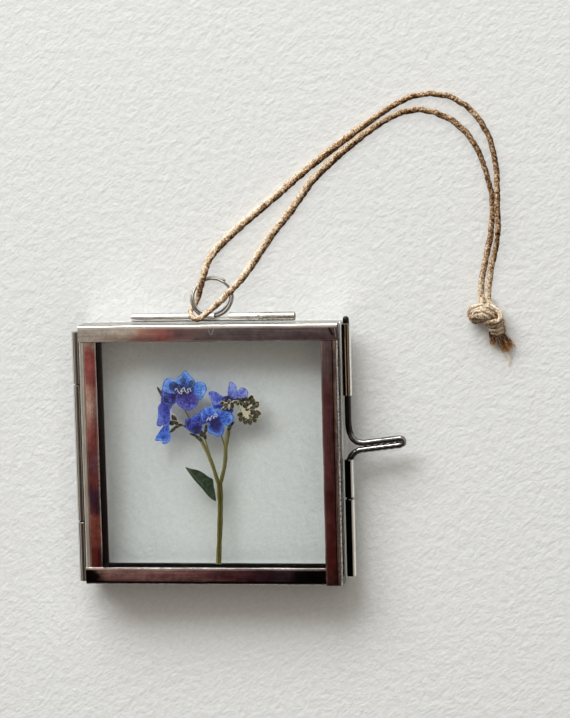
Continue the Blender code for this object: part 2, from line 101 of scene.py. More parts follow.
# %% Add and join nodes
def plug(tree, socket, value):
    """Links a socket to another one, or types a plain value into it."""
    if isinstance(value, bpy.types.NodeSocket):
        tree.links.new(value, socket)
    else:
        socket.default_value = value


def add_node(tree, kind, sockets=None, output=0, **options):
    """Adds a node with its options and inputs, and returns one of its outputs."""
    node = tree.nodes.new(kind)
    for option, value in options.items():
        setattr(node, option, value)
    for socket, value in (sockets or {}).items():
        plug(tree, node.inputs[socket], value)
    return node.outputs[output]


def calc(tree, operation, first, second=0.0):
    return add_node(tree, "ShaderNodeMath", {0: first, 1: second}, operation=operation)


def times(tree, first, second):
    return calc(tree, "MULTIPLY", first, second)


def plus(tree, *values):
    total = values[0]
    for value in values[1:]:
        total = calc(tree, "ADD", total, value)
    return total


def centred(tree, noise_value, size):
    """A noise from 0 to 1 turned into one that swings round zero."""
    return times(tree, calc(tree, "SUBTRACT", noise_value, 0.5), size)


def vector_calc(tree, operation, first, second=(0.0, 0.0, 0.0), output="Vector"):
    """Sums with arrows. The output "Value" is the number that a length or a dot product gives."""
    return add_node(
        tree, "ShaderNodeVectorMath", {0: first, 1: second}, output=output, operation=operation
    )


def scaled(tree, arrow, size):
    return add_node(tree, "ShaderNodeVectorMath", {0: arrow, "Scale": size}, operation="SCALE")


# %% [markdown]
# Colours are written as they look on a screen, from 0 to 255. Shaders work in linear light, so a small
# function converts them. The other helpers here are those that nearly every finish needs: a ramp, a
# mix, a change of range, a soft noise, the place on the bench in millimetres, paint and bump.

# %% Colours as the eye reads them
def colour(red, green, blue):
    """A screen colour from 0 to 255, in the linear light that shaders work in."""
    shares = [value / 255 for value in (red, green, blue)]
    linear = [s / 12.92 if s <= 0.04045 else ((s + 0.055) / 1.055) ** 2.4 for s in shares]
    return (*linear, 1.0)


def full_colour(shade):
    """A stop's shade, which may be a grey from 0 to 1 or red, green and blue from 0 to 255."""
    if not isinstance(shade, tuple):
        return (shade, shade, shade, 1.0)
    return colour(*shade) if len(shade) == 3 else shade


def ramp(tree, value, stops, easing="EASE"):
    """Shades along a value from 0 to 1. A stop is a position and a shade."""
    node = tree.nodes.new("ShaderNodeValToRGB")
    band = node.color_ramp
    band.interpolation = easing
    ends = (stops[0], stops[-1])
    for element, (position, _) in zip((band.elements[0], band.elements[1]), ends):
        element.position = position
    for position, _ in stops[1:-1]:
        band.elements.new(position)
    for element, (_, shade) in zip(band.elements, stops):
        element.color = full_colour(shade)
    plug(tree, node.inputs[0], value)
    return node.outputs[0]


def mix(tree, share, first, second, blend="MIX"):
    sockets = {0: share, 6: first, 7: second}
    return add_node(
        tree, "ShaderNodeMix", sockets, output=2, data_type="RGBA", blend_type=blend, clamp_factor=True
    )


print("middle grey in linear light:", round(colour(128, 128, 128)[0], 3))


# %% Noise, places and bump
def remap(tree, value, low, high, new_low=0.0, new_high=1.0):
    """A value moved from one range to another, and held inside it."""
    sockets = {"Value": value, "From Min": low, "From Max": high, "To Min": new_low, "To Max": new_high}
    return add_node(tree, "ShaderNodeMapRange", sockets)


def cloud(tree, where, scale, detail=2.0, roughness=0.5):
    """Soft random patches from 0 to 1, as many to the millimetre as the scale says."""
    sockets = {"Vector": where, "Scale": scale, "Detail": detail, "Roughness": roughness}
    return add_node(tree, "ShaderNodeTexNoise", sockets, output=0)


def bench(tree, stretch=(1.0, 1.0, 1.0)):
    """Places on a piece in millimetres from the middle of the glass, stretched if asked."""
    sockets = {
        "Vector": add_node(tree, "ShaderNodeTexCoord", output="Object"),
        "Location": tuple(-MIDDLE[axis] / MM * stretch[axis] for axis in range(3)),
        "Scale": tuple(share / MM for share in stretch),
    }
    return add_node(tree, "ShaderNodeMapping", sockets)


def attribute(tree, name, output="Fac"):
    return add_node(tree, "ShaderNodeAttribute", output=output, attribute_name=name)


def dress(material, **values):
    """Sets plain values on a material's main shader; returns its tree and that shader."""
    material.use_nodes = True
    shader = material.node_tree.nodes["Principled BSDF"]
    for socket, value in values.items():
        shader.inputs[socket.replace("_", " ")].default_value = value
    return material.node_tree, shader


def finish(name, **values):
    """A new material, dressed; returns the material, its tree and its main shader."""
    made = bpy.data.materials.new(name)
    print("finish:", name)
    return made, *dress(made, **values)


def paint(tree, shader, shades):
    plug(tree, shader.inputs["Base Color"], shades)


def raise_surface(tree, shader, height, depth, strength=1.0):
    """Bump: a height from 0 to 1 that stands a depth in millimetres above the surface."""
    sockets = {"Height": height, "Distance": depth * MM, "Strength": strength}
    plug(tree, shader.inputs["Normal"], add_node(tree, "ShaderNodeBump", sockets))


# %% [markdown]
# ## Twine: the free cord comes first
#
# Jute twine is three soft yarns twisted round each other. Its route is a given list of points:
# out of the knot, over the top, round the ring and back. A smooth curve runs through them, the same
# as in the plain solid. The last points carry on inside the knot, so that the cut is never seen.

# %% The route of the twine
TWINE = 1.2 * MM
TWINE_LONGEST_STEP = 3.5 * TWINE
TWINE_ROUTE = [
    (52.75, 28.0, 0.8), (53.05, 31.3, 0.66), (53.5, 34.3, 0.66), (54.4, 37.9, 0.9), (55.1, 42.0, 1.75),
    (55.0, 45.5, 1.85), (55.0, 49.0, 1.55), (54.9, 52.4, 0.85), (54.5, 55.4, 0.66), (53.7, 58.8, 0.66),
    (52.1, 61.9, 0.66), (49.6, 64.8, 0.66), (46.2, 66.8, 0.66), (42.7, 67.3, 0.66), (39.3, 66.9, 0.66),
    (34.6, 64.6, 0.66), (27.2, 59.7, 0.66), (19.8, 54.3, 0.66), (13.0, 48.8, 0.66), (6.2, 43.4, 0.66),
    (1.4, 39.1, 0.7), (-0.3, 36.9, 1.1), (-0.9, 35.2, 1.7), (-1.4, 33.4, 2.1), (-2.0, 31.6, 1.6),
    (-2.5, 29.9, 0.95), (-2.95, 28.8, 0.95), (-3.5, 27.95, 1.5), (-3.8, 27.3, 2.6), (-3.6, 26.75, 3.9),
    (-3.0, 26.15, 4.8), (-2.2, 25.85, 5.2), (-1.3, 26.1, 5.3), (-0.3, 26.85, 5.25), (0.9, 27.85, 5.0),
    (2.6, 29.35, 4.45), (4.25, 31.0, 3.8), (6.0, 32.95, 2.4), (7.75, 35.4, 1.4), (9.5, 38.0, 0.8),
    (11.7, 41.1, 0.66), (15.8, 46.0, 0.66), (19.6, 51.1, 0.66), (22.1, 53.6, 0.66), (27.2, 57.9, 0.66),
    (33.1, 61.9, 0.66), (37.5, 64.0, 0.66), (40.4, 64.4, 0.66), (43.2, 63.9, 0.66), (46.6, 62.4, 0.66),
    (49.5, 59.8, 0.66), (51.6, 56.4, 0.66), (52.9, 52.4, 0.66), (53.9, 48.4, 0.62), (54.0, 44.4, 0.62),
    (53.5, 40.4, 0.62), (52.7, 37.0, 0.62), (51.95, 33.6, 0.66), (51.6, 31.0, 0.66), (51.45, 28.0, 0.8),
]
INSIDE_KNOT = [(51.5, 26.8, 1.2), (52.1, 26.2, 1.4), (52.7, 26.8, 1.2)]


def curve_between(a, b, c, d, parts):
    """Points of the Catmull-Rom curve from b to c: b and the parts after it, without c."""
    squared = 2 * a - 5 * b + 4 * c - d
    cubed = 3 * b - a - 3 * c + d
    for t in (i / parts for i in range(parts)):
        yield (2 * b + (c - a) * t + squared * t**2 + cubed * t**3) / 2


def smooth_route(points, longest):
    """The curve through the given points, with more points of its own where they are far apart."""
    knots = [Vector(point) for point in points]
    knots = [2 * knots[0] - knots[1], *knots, 2 * knots[-1] - knots[-2]]
    route = []
    for a, b, c, d in zip(knots, knots[1:], knots[2:], knots[3:]):
        route += curve_between(a, b, c, d, max(1, math.ceil((c - b).length / longest)))
    return [*route, knots[-2]]


def length_of(route):
    return sum((b - a).length for a, b in zip(route, route[1:]))


twine_route = smooth_route([place(*point) for point in TWINE_ROUTE], TWINE_LONGEST_STEP)
knot_turn = [place(*point) for point in INSIDE_KNOT]
print("twine between the two sides of the knot:", round(length_of(twine_route) / MM, 1), "mm")

# %% [markdown]
# ## Twisting yarns with Geometry Nodes
#
# Twisting by hand would take thousands of points. The rule is simple, though: each yarn runs beside
# the route at a fixed distance and turns once in every twist length. A Geometry Nodes tree says just
# that. It turns the route into a curve, pushes it sideways by a turning arrow, and sweeps a circle
# along it. Random lumps make the yarns uneven, as jute is. Its inputs have names, so that the same
# tree can make the loop, the wraps of the knot and a few stray threads.

# %% Start and end a tree
TWINE_FINISH = bpy.data.materials.new("jute_yarn")
TABLE_GAP = 0.02 * MM


def new_tree(name, inputs):
    """An empty Geometry Nodes tree with named inputs; returns it and its input sockets."""
    tree = bpy.data.node_groups.new(name, "GeometryNodeTree")
    tree.interface.new_socket("Geometry", in_out="INPUT", socket_type="NodeSocketGeometry")
    for label, kind, value in inputs:
        socket = tree.interface.new_socket(label, in_out="INPUT", socket_type=f"NodeSocket{kind}")
        socket.default_value = value
    tree.interface.new_socket("Geometry", in_out="OUTPUT", socket_type="NodeSocketGeometry")
    return tree, tree.nodes.new("NodeGroupInput").outputs


def store(tree, geometry, name, value, kind="FLOAT"):
    """Keeps a value on every point under a name, which the material can read."""
    sockets = {"Geometry": geometry, "Name": name, "Value": value}
    return add_node(tree, "GeometryNodeStoreNamedAttribute", sockets, data_type=kind)


def close_tree(tree, geometry, material):
    """Every tree ends the same way: nothing below the table, no instances left, and a material."""
    real = add_node(tree, "GeometryNodeRealizeInstances", {"Geometry": geometry})
    split = tree.nodes.new("ShaderNodeSeparateXYZ")
    plug(tree, split.inputs[0], add_node(tree, "GeometryNodeInputPosition"))
    x, y, z = split.outputs
    resting = add_node(tree, "ShaderNodeCombineXYZ", {0: x, 1: y, 2: calc(tree, "MAXIMUM", z, TABLE_GAP)})
    real = add_node(tree, "GeometryNodeSetPosition", {"Geometry": real, "Position": resting})
    smooth = add_node(tree, "GeometryNodeSetShadeSmooth", {"Geometry": real})
    done = add_node(tree, "GeometryNodeSetMaterial", {"Geometry": smooth, "Material": material})
    plug(tree, tree.nodes.new("NodeGroupOutput").inputs[0], done)
    print(f"tree {tree.name}: {len(tree.nodes)} nodes")


# %% [markdown]
# The twine isn't the same all along. Where it goes round the ring it was pulled open by hand, so its
# yarns are thicker and stand further apart there. A ramp over the distance from the ring's foot says
# so. Each vertex also learns how far it faces the window, so that the lit side can be painted paler,
# as a painted highlight.

# %% Uneven and loosened yarn, painted paler on its lit side
BIGHT = (-1.3, 26.1, 5.3)
LOOSE_REACH = 60 * MM
# How thick the twine is, at shares of that reach from the foot of the ring; 0.667 is its usual size.
LOOSENESS = [
    (0.05, 0.62), (0.13, 0.78), (0.23, 0.93), (0.42, 0.93), (0.72, 0.88), (0.84, 0.72), (1.0, 0.67)]
LOOSEST = 1.5
SLIP_SCALE = 260.0
SLIP_TURN = 7.0
LUMP_SCALE = 1100.0
SLOW_LUMP_SCALE = 70.0
# The way the lit side faces, towards the soft box; that side is painted paler, a painted highlight.
LIT_SIDE_WAY = (-0.33, 0.8, 0.5)


def line_noise(tree, along, scale, detail=2.0):
    """Random swells from 0 to 1 along a line."""
    sockets = {"W": along, "Scale": scale, "Detail": detail}
    return add_node(tree, "ShaderNodeTexNoise", sockets, noise_dimensions="1D")


def looseness(tree, here):
    """How thick the twine is at a place, against its usual size."""
    foot = tuple(place(BIGHT[0], BIGHT[1], 0))
    far = vector_calc(tree, "DISTANCE", here, foot, output="Value")
    return times(tree, ramp(tree, calc(tree, "DIVIDE", far, LOOSE_REACH), LOOSENESS), LOOSEST)


def window_facing(tree, given, here):
    """How far a point on the twine faces the window, from -1 to 1; that side is painted paler."""
    middle = add_node(tree, "GeometryNodeInputNamedAttribute", {"Name": "middle"}, data_type="FLOAT_VECTOR")
    outward = vector_calc(tree, "SUBTRACT", here, middle)
    lit = vector_calc(tree, "DOT_PRODUCT", outward, LIT_SIDE_WAY, output="Value")
    return calc(tree, "DIVIDE", lit, plus(tree, given["Yarn radius"], given["Yarn offset"]))


thickest = LOOSEST * max(share for _, share in LOOSENESS)
print("beside the ring the twine is up to", round(thickest, 2), "times as thick")

# %% A tree that twists yarns along a route
def twist_tree(name, yarns):
    tree, given = new_tree(name, [
        ("Yarn radius", "Float", 0.35 * MM),
        ("Yarn offset", "Float", 0.22 * MM),
        ("Twist length", "Float", 6.6 * MM),
        ("Step", "Float", 0.28 * MM),
        ("Lumps", "Float", 0.5),
        ("Material", "Material", None),
    ])
    here = add_node(tree, "GeometryNodeInputPosition")
    path = add_node(tree, "GeometryNodeMeshToCurve", {"Mesh": given["Geometry"]})
    sockets = {"Curve": path, "Length": given["Step"]}
    path = add_node(tree, "GeometryNodeResampleCurve", sockets, mode="LENGTH")
    path = store(tree, path, "middle", here, "FLOAT_VECTOR")
    along = add_node(tree, "GeometryNodeSplineParameter", output="Length")
    side = add_node(tree, "GeometryNodeInputNormal")
    other_side = vector_calc(tree, "CROSS_PRODUCT", side, add_node(tree, "GeometryNodeInputTangent"))
    turned = times(tree, calc(tree, "DIVIDE", along, given["Twist length"]), math.tau)
    turned = plus(tree, turned, times(tree, line_noise(tree, along, SLIP_SCALE), SLIP_TURN))
    slow_lumps = centred(tree, line_noise(tree, along, SLOW_LUMP_SCALE), 0.5)
    ring = add_node(tree, "GeometryNodeCurvePrimitiveCircle", {"Resolution": 10, "Radius": 1.0})
    ring = store(tree, ring, "around", here, "FLOAT_VECTOR")
    loose = looseness(tree, here)
    strands = []
    for yarn in range(yarns):
        angle = plus(tree, turned, math.tau * yarn / yarns)
        sideways = scaled(tree, side, calc(tree, "COSINE", angle))
        arrow = vector_calc(tree, "ADD", sideways, scaled(tree, other_side, calc(tree, "SINE", angle)))
        offset = scaled(tree, arrow, times(tree, given["Yarn offset"], loose))
        strand = add_node(tree, "GeometryNodeSetPosition", {"Geometry": path, "Offset": offset})
        strand = store(tree, strand, "along", calc(tree, "DIVIDE", along, MM))
        lumps = centred(tree, line_noise(tree, plus(tree, along, yarn), LUMP_SCALE, 3.0), given["Lumps"])
        thick = times(tree, plus(tree, lumps, slow_lumps, loose), given["Yarn radius"])
        sockets = {"Curve": strand, "Profile Curve": ring, "Scale": thick, "Fill Caps": True}
        strands.append(add_node(tree, "GeometryNodeCurveToMesh", sockets))
    joined = tree.nodes.new("GeometryNodeJoinGeometry")
    for strand in strands:
        tree.links.new(strand, joined.inputs[0])
    # Kept on the vertices for the painted highlight on the side that faces the window.
    cord = store(tree, joined.outputs[0], "lit_side", window_facing(tree, given, here))
    close_tree(tree, cord, given["Material"])
    return tree


three_yarns = twist_tree("three_yarns", 3)

# %% [markdown]
# A modifier runs again at every change. A finished piece has to be plain mesh, so each tree is run
# once, its result is kept and the modifier goes. The piece is then told which body it rides on, and
# the solids that it stands for are hidden.

# %% Run a tree and keep plain mesh
def line_mesh(name, routes):
    """Routes of points as bare edges, which a tree can follow."""
    points, edges = [], []
    for route in routes:
        edges += [(len(points) + i, len(points) + i + 1) for i in range(len(route) - 1)]
        points += route
    data = bpy.data.meshes.new(name)
    data.from_pydata(points, edges, [])
    return data


def grow(name, data, tree, **inputs):
    """Runs a tree on a mesh with its inputs set, and returns an object that holds the plain result."""
    made = bpy.data.objects.new(name, data)
    bpy.context.collection.objects.link(made)
    modifier = made.modifiers.new("grow", "NODES")
    modifier.node_group = tree
    for item in tree.interface.items_tree:
        label = item.name.replace(" ", "_").lower()
        if item.in_out == "INPUT" and label in inputs:
            modifier[item.identifier] = inputs[label]
    evaluated = made.evaluated_get(bpy.context.evaluated_depsgraph_get())
    plain = bpy.data.meshes.new_from_object(evaluated)
    made.modifiers.clear()
    made.data = plain
    plain.name = name
    print(f"{name}: {len(plain.polygons)} faces")
    return made


def fit(made, body, slot, *nodes):
    """A finished piece rides on a body and hides the solids that it stands for. The slot is not used."""
    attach(made, body)
    if nodes:
        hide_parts(*nodes)
    return made


# %% [markdown]
# Now the loop itself. On the real table it throws hardly any shadow, because the light is so soft, and
# a thin line of shadow beside the whole cord would look drawn on. So its shadow is switched off.

# %% Grow the loop
# The line begins and ends inside the knot.
twine_line = [knot_turn[2], *twine_route, knot_turn[0]]
twine = grow("jute_loop", line_mesh("jute_loop", [twine_line]), three_yarns, material=TWINE_FINISH)
twine.visible_shadow = False
fit(twine, "back_leaf", "jute_twine", "twine_loop")

# %% [markdown]
# ## The knot
#
# The two ends meet in one overhand knot: both strands bend over to the left, come back across the
# front and wrap round the right side. Each visible wrap gets a short route of its own, and the same
# tree twists it, only looser. Wraps that pass over each other are a strand apart in height, which
# leaves the dark gaps that make a knot look tight.

# %% Wrap the knot
KNOT_WRAPS = [
    [(51.86, 29.1, 0.8), (51.84, 28.1, 1.2), (51.5, 27.3, 1.5), (51.0, 26.4, 1.6)],
    [(52.94, 29.1, 0.8), (53.0, 27.9, 1.2), (52.7, 27.0, 1.6), (52.2, 26.0, 1.7)],
    [(49.62, 25.1, 0.9), (49.5, 25.7, 1.4), (49.52, 26.4, 1.8), (49.85, 27.0, 2.2), (50.45, 27.35, 2.5),
     (51.15, 27.48, 2.6), (51.9, 27.48, 2.6), (52.6, 27.25, 2.5), (53.25, 26.8, 2.3), (53.8, 26.3, 1.9),
     (54.3, 25.7, 1.3), (54.5, 25.2, 0.9)],
    [(50.05, 25.9, 1.9), (50.25, 26.35, 2.5), (50.8, 26.65, 2.9), (51.5, 26.72, 3.0), (52.2, 26.55, 2.9),
     (52.8, 26.15, 2.5), (53.2, 25.6, 1.9), (53.4, 25.1, 1.3)],
    [(49.75, 25.3, 1.6), (50.2, 25.62, 2.4), (51.0, 25.66, 2.8), (51.75, 25.35, 2.8), (52.4, 24.85, 2.4),
     (52.9, 24.3, 1.7)],
    [(49.54, 25.6, 1.3), (49.8, 24.9, 1.3), (50.4, 24.55, 1.2), (51.1, 24.6, 1.2), (51.8, 24.8, 1.5),
     (52.3, 24.9, 1.6)],
    [(53.1, 28.2, 0.8), (53.5, 27.55, 1.2), (54.25, 27.05, 1.6), (54.95, 26.35, 2.0), (55.3, 25.6, 2.3),
     (55.2, 24.95, 2.6), (54.7, 24.62, 2.8), (53.95, 24.55, 2.9), (53.1, 24.45, 2.6), (52.5, 24.25, 1.9)],
    [(52.66, 23.9, 1.2), (53.5, 23.62, 1.9), (54.5, 23.7, 2.1), (55.25, 24.15, 1.8), (55.6, 24.7, 1.2)],
    [(53.0, 23.3, 1.0), (53.7, 22.9, 1.6), (54.5, 22.8, 1.7), (55.3, 23.15, 1.4), (55.7, 23.7, 0.9)],
    [(53.36, 22.6, 0.7), (54.0, 22.25, 1.2), (54.7, 22.15, 1.3), (55.4, 22.45, 1.1), (55.7, 22.9, 0.7)],
    [(51.1, 27.0, 2.4), (51.9, 26.95, 3.1), (52.8, 26.5, 3.3), (53.55, 25.85, 3.1), (53.95, 25.25, 2.4)],
    [(51.2, 26.3, 2.6), (52.0, 26.15, 3.2), (52.75, 25.65, 3.2), (53.3, 25.1, 2.6)],
    [(50.3, 25.95, 2.4), (51.1, 26.0, 3.0), (51.9, 25.65, 3.1), (52.5, 25.05, 2.7)],
    [(49.9, 26.1, 1.3), (50.8, 26.2, 1.8), (51.8, 26.05, 2.1), (52.7, 25.6, 1.9), (53.3, 25.0, 1.5)],
    [(50.0, 25.4, 0.8), (50.8, 25.3, 0.9), (51.8, 25.3, 1.1), (52.8, 25.0, 1.3), (53.4, 24.4, 1.4),
     (53.6, 23.5, 1.2)],
    [(50.6, 25.2, 0.9), (52.0, 25.6, 1.1), (53.3, 25.3, 1.2), (54.2, 24.4, 1.2), (54.4, 23.2, 1.0),
     (54.4, 22.3, 0.8)],
    [(51.0, 26.6, 1.0), (52.4, 26.7, 1.2), (53.6, 26.2, 1.2), (54.4, 25.4, 1.1)],
]
KNOT_STEP = 0.5 * MM

knot_routes = [smooth_route([place(*point) for point in wrap], KNOT_STEP) for wrap in KNOT_WRAPS]
knot = grow(
    "jute_knot", line_mesh("jute_knot", knot_routes), three_yarns, material=TWINE_FINISH,
    yarn_radius=0.27 * MM, yarn_offset=0.24 * MM, twist_length=7.0 * MM, lumps=0.5, step=0.15 * MM,
)
fit(knot, "back_leaf", "jute_twine", "twine_knot")

# %% [markdown]
# ## Loose fibres and frayed ends
#
# Jute is hairy. A fibre is one thin bent curve, and a tree can copy it hundreds of times with random
# turns and sizes from a fixed seed, so that every run gives the same fuzz. One tree puts fibres along
# a route. A second one grows them out of a surface: on a small disc it makes the brush of a cut end,
# and it will make the hairs of the buds later.

# %% One fibre, and how it is copied
FIBRE_TAPER = 0.6
SMALLEST_COPY = 0.45
LARGEST_COPY = 1.1


def fibre(tree, given):
    """One bent fibre that stands up along Z, as thin mesh."""
    length = given["Fibre length"]
    bend = times(tree, length, given["Bend"])
    middle = add_node(tree, "ShaderNodeCombineXYZ", {0: bend, 2: times(tree, length, 0.5)})
    tip = add_node(tree, "ShaderNodeCombineXYZ", {2: length})
    sockets = {"Resolution": 5, "Start": (0.0, 0.0, 0.0), "Middle": middle, "End": tip}
    path = add_node(tree, "GeometryNodeCurveQuadraticBezier", sockets)
    far = add_node(tree, "GeometryNodeSplineParameter")
    path = store(tree, path, "along", far)
    round_hair = {"Resolution": 3, "Radius": given["Fibre radius"]}
    ring = add_node(tree, "GeometryNodeCurvePrimitiveCircle", round_hair)
    taper = calc(tree, "SUBTRACT", 1.0, times(tree, far, FIBRE_TAPER))
    sockets = {"Curve": path, "Profile Curve": ring, "Scale": taper, "Fill Caps": True}
    return add_node(tree, "GeometryNodeCurveToMesh", sockets)


def scatter(tree, given, points):
    """Copies the fibre to the points of a node, each copy tilted and sized at random."""
    seed = given["Seed"]
    tilt = add_node(tree, "FunctionNodeRandomValue", {"Seed": seed}, data_type="FLOAT_VECTOR")
    for socket, share in (("Min", -1.0), ("Max", 1.0)):
        lean = times(tree, given["Spread"], share)
        furthest = add_node(tree, "ShaderNodeCombineXYZ", {0: lean, 1: lean, 2: math.pi * share})
        plug(tree, tilt.node.inputs[socket], furthest)
    tilt = add_node(tree, "FunctionNodeEulerToRotation", {0: tilt})
    sockets = {"Rotation": points.outputs["Rotation"], "Rotate By": tilt}
    turned = add_node(tree, "FunctionNodeRotateRotation", sockets, rotation_space="LOCAL")
    sockets = {2: SMALLEST_COPY, 3: LARGEST_COPY, "Seed": plus(tree, seed, 1.0)}
    size = add_node(tree, "FunctionNodeRandomValue", sockets, output=1, data_type="FLOAT")
    sockets = {"Points": points.outputs["Points"], "Instance": fibre(tree, given), "Rotation": turned,
               "Scale": size}
    copies = add_node(tree, "GeometryNodeInstanceOnPoints", sockets)
    close_tree(tree, copies, given["Material"])
    return tree


# %% A tree for fibres along a route, and one for fibres on a surface
FIBRE_INPUTS = [
    ("Fibre length", "Float", 2.0 * MM),
    ("Fibre radius", "Float", 0.022 * MM),
    ("Bend", "Float", 0.25),
    ("Spread", "Float", 0.6),
    ("Seed", "Int", 1),
    ("Material", "Material", None),
]


def route_fibres():
    tree, given = new_tree("fibres_along_a_route", [("Count", "Int", 100), *FIBRE_INPUTS])
    path = add_node(tree, "GeometryNodeMeshToCurve", {"Mesh": given["Geometry"]})
    sockets = {"Curve": path, "Count": given["Count"]}
    points = add_node(tree, "GeometryNodeCurveToPoints", sockets, mode="COUNT")
    return scatter(tree, given, points.node)


def surface_fibres():
    tree, given = new_tree("fibres_on_a_surface", [("Density", "Float", 1e6), *FIBRE_INPUTS])
    sockets = {"Mesh": given["Geometry"], "Density": given["Density"], "Seed": given["Seed"]}
    points = add_node(tree, "GeometryNodeDistributePointsOnFaces", sockets)
    return scatter(tree, given, points.node)


along_route = route_fibres()
on_surface = surface_fibres()

# %% Loose fibres on the loop and the knot
STRAY_FINISH = bpy.data.materials.new("jute_fibre")
TUFT_FINISH = bpy.data.materials.new("frayed_jute")

loop_fuzz = grow(
    "jute_loop_fuzz", line_mesh("jute_loop_fuzz", [twine_line]), along_route, material=STRAY_FINISH,
    count=2200, fibre_length=1.3 * MM, fibre_radius=0.018 * MM, spread=0.8, seed=4,
)
loop_fuzz.visible_shadow = False
fit(loop_fuzz, "back_leaf", "jute_twine")
knot_fuzz = grow(
    "jute_knot_fuzz", line_mesh("jute_knot_fuzz", knot_routes), along_route, material=STRAY_FINISH,
    count=60, fibre_length=1.5 * MM, fibre_radius=0.014 * MM, spread=1.1, seed=9,
)
fit(knot_fuzz, "back_leaf", "jute_twine")

# %% [markdown]
# Each cut end is a brush of stiff brown fibres, with a halo of fine pale ones that reach a little
# further. Both grow from the same small disc. Three long threads that have come loose lie beside them.

# %% Place the frayed ends
# Each tuft: its middle, the way its fibres point, how far they reach and spread, and its seed.
TUFTS = {
    "twine_end_left": ((53.6, 22.5, 0.85), (0.12, -1.0, -0.12), 2.5, 0.2, 3),
    "twine_end_right": ((54.95, 22.2, 0.85), (0.5, -1.0, -0.1), 3.6, 0.3, 5),
}
TUFT_RADIUS = 0.66 * MM
TUFT_FLATNESS = 0.7
TUFT_DENSITY = 2.4e8
HALO_DENSITY = 6.0e7
STRAYS = [
    [(55.2, 20.4, 0.5), (55.35, 19.07, 0.3), (55.87, 17.89, 0.2), (56.48, 16.8, 0.2), (56.38, 16.0, 0.15)],
    [(56.6, 20.2, 0.5), (56.96, 18.33, 0.3), (56.85, 17.43, 0.2), (56.66, 16.2, 0.15)],
    [(55.6, 24.2, 1.0), (56.2, 23.4, 1.1), (56.6, 23.1, 1.0)],
]


# %% A disc for fibres to grow from
def mesh_from(name, shape, outward=False):
    """The plain mesh of a shape, its faces turned outwards if asked. The shape is then let go."""
    if outward:
        bmesh.ops.recalc_face_normals(shape, faces=shape.faces)
    data = bpy.data.meshes.new(name)
    shape.to_mesh(data)
    shape.free()
    return data


def tuft_disc(name, middle, way):
    """A small disc that faces the way the fibres grow, flattened by the table under it."""
    shape = bmesh.new()
    bmesh.ops.create_circle(shape, cap_ends=True, radius=TUFT_RADIUS, segments=16)
    bmesh.ops.scale(shape, vec=(1, TUFT_FLATNESS, 1), verts=shape.verts)
    turn = Vector(way).to_track_quat("Z", "Y").to_matrix().to_4x4()
    bmesh.ops.transform(shape, matrix=Matrix.Translation(place(*middle)) @ turn, verts=shape.verts)
    return mesh_from(name, shape)


# %% Grow the two frayed ends
for node, (middle, way, reach, spread, seed) in TUFTS.items():
    name = node.replace("twine_end", "jute_end")
    tuft = grow(
        name, tuft_disc(name, middle, way), on_surface, material=TUFT_FINISH, density=TUFT_DENSITY,
        fibre_length=reach * MM, fibre_radius=0.085 * MM, spread=spread, bend=0.06, seed=seed,
    )
    fit(tuft, "back_leaf", "jute_twine", node)
    halo = grow(
        f"{name}_halo", tuft_disc(name, middle, way), on_surface, material=STRAY_FINISH,
        density=HALO_DENSITY, fibre_length=(reach + 0.2) * MM, fibre_radius=0.014 * MM, spread=0.8,
        bend=0.2, seed=seed + 20,
    )
    fit(halo, "back_leaf", "jute_twine")

stray_routes = [smooth_route([place(*point) for point in stray], KNOT_STEP) for stray in STRAYS]
strays = grow(
    "jute_strays", line_mesh("jute_strays", stray_routes), three_yarns, material=STRAY_FINISH,
    yarn_radius=0.045 * MM, yarn_offset=0.01 * MM,
)
fit(strays, "back_leaf", "jute_twine")

# %% [markdown]
# A cord's length is part of the model. The loop leaves the ring at the bight, goes over the paper,
# turns inside the knot and comes back, which makes one closed path.

# %% [markdown]
# ## Paper
#
# The frame lies on slightly rough white paper. Paper is felted from fibres, so its surface has a fine
# even grain and longer soft ridges. The ridges are noise that is stretched, after it has been turned
# to the slant at which they lie. Their height is bump only, because nobody sees the paper's edge. The
# ridges are also painted a little darker, a painted shade that shows their relief.

# %% Lay the paper
PAPER_SIZE = 4.0
PAPER_WHITE = colour(232, 235, 235)
GRAIN_TURN = math.radians(38)

paper_data = bpy.data.meshes.new("paper")
half = PAPER_SIZE / 2
corners = [(-half, -half, 0), (half, -half, 0), (half, half, 0), (-half, half, 0)]
paper_data.from_pydata(corners, [], [(0, 1, 2, 3)])
paper = bpy.data.objects.new("paper", paper_data)
bpy.context.collection.objects.link(paper)

paper_finish, tree, shader = finish("rough_paper", Roughness=0.9)
grain = cloud(tree, bench(tree), 0.55, detail=4, roughness=0.6)
sockets = {"Vector": bench(tree), "Angle": -GRAIN_TURN}
turned = add_node(tree, "ShaderNodeVectorRotate", sockets, rotation_type="Z_AXIS")
fluff = cloud(tree, vector_calc(tree, "MULTIPLY", turned, (0.7, 1.5, 1.0)), 1.2, detail=3)
# The ridges are painted a little darker: a painted shade for their relief.
tone = mix(tree, ramp(tree, fluff, [(0.35, 0.0), (0.65, 1.0)]), PAPER_WHITE, colour(226, 229, 228))
paint(tree, shader, tone)
raise_surface(tree, shader, plus(tree, grain, times(tree, fluff, 0.4)), 0.2)
paper_data.materials.append(paper_finish)
print("paper:", PAPER_SIZE, "m wide")

# %% [markdown]
# ## Lights and the dark above
#
# A wide soft box stands beyond the top edge, a little to the left, like a window in the room. It is
# low, so the shadows are long, soft and dark at the foot of the frame. A weak warm light from the near
# side tints them, as a room's wall would, and is hidden from the metal so that it leaves no hot spot.
# Metal and glass show what is round them, so the sky matters as much as the lamp. A photograph of a
# room could fill it, but a few soft bands are easier to steer. It is bright near the horizon beyond
# the top edge, dim on the near side, and dark overhead, where the camera stands. That dark patch
# keeps the panes clear and makes the flat metal look dark and warm.

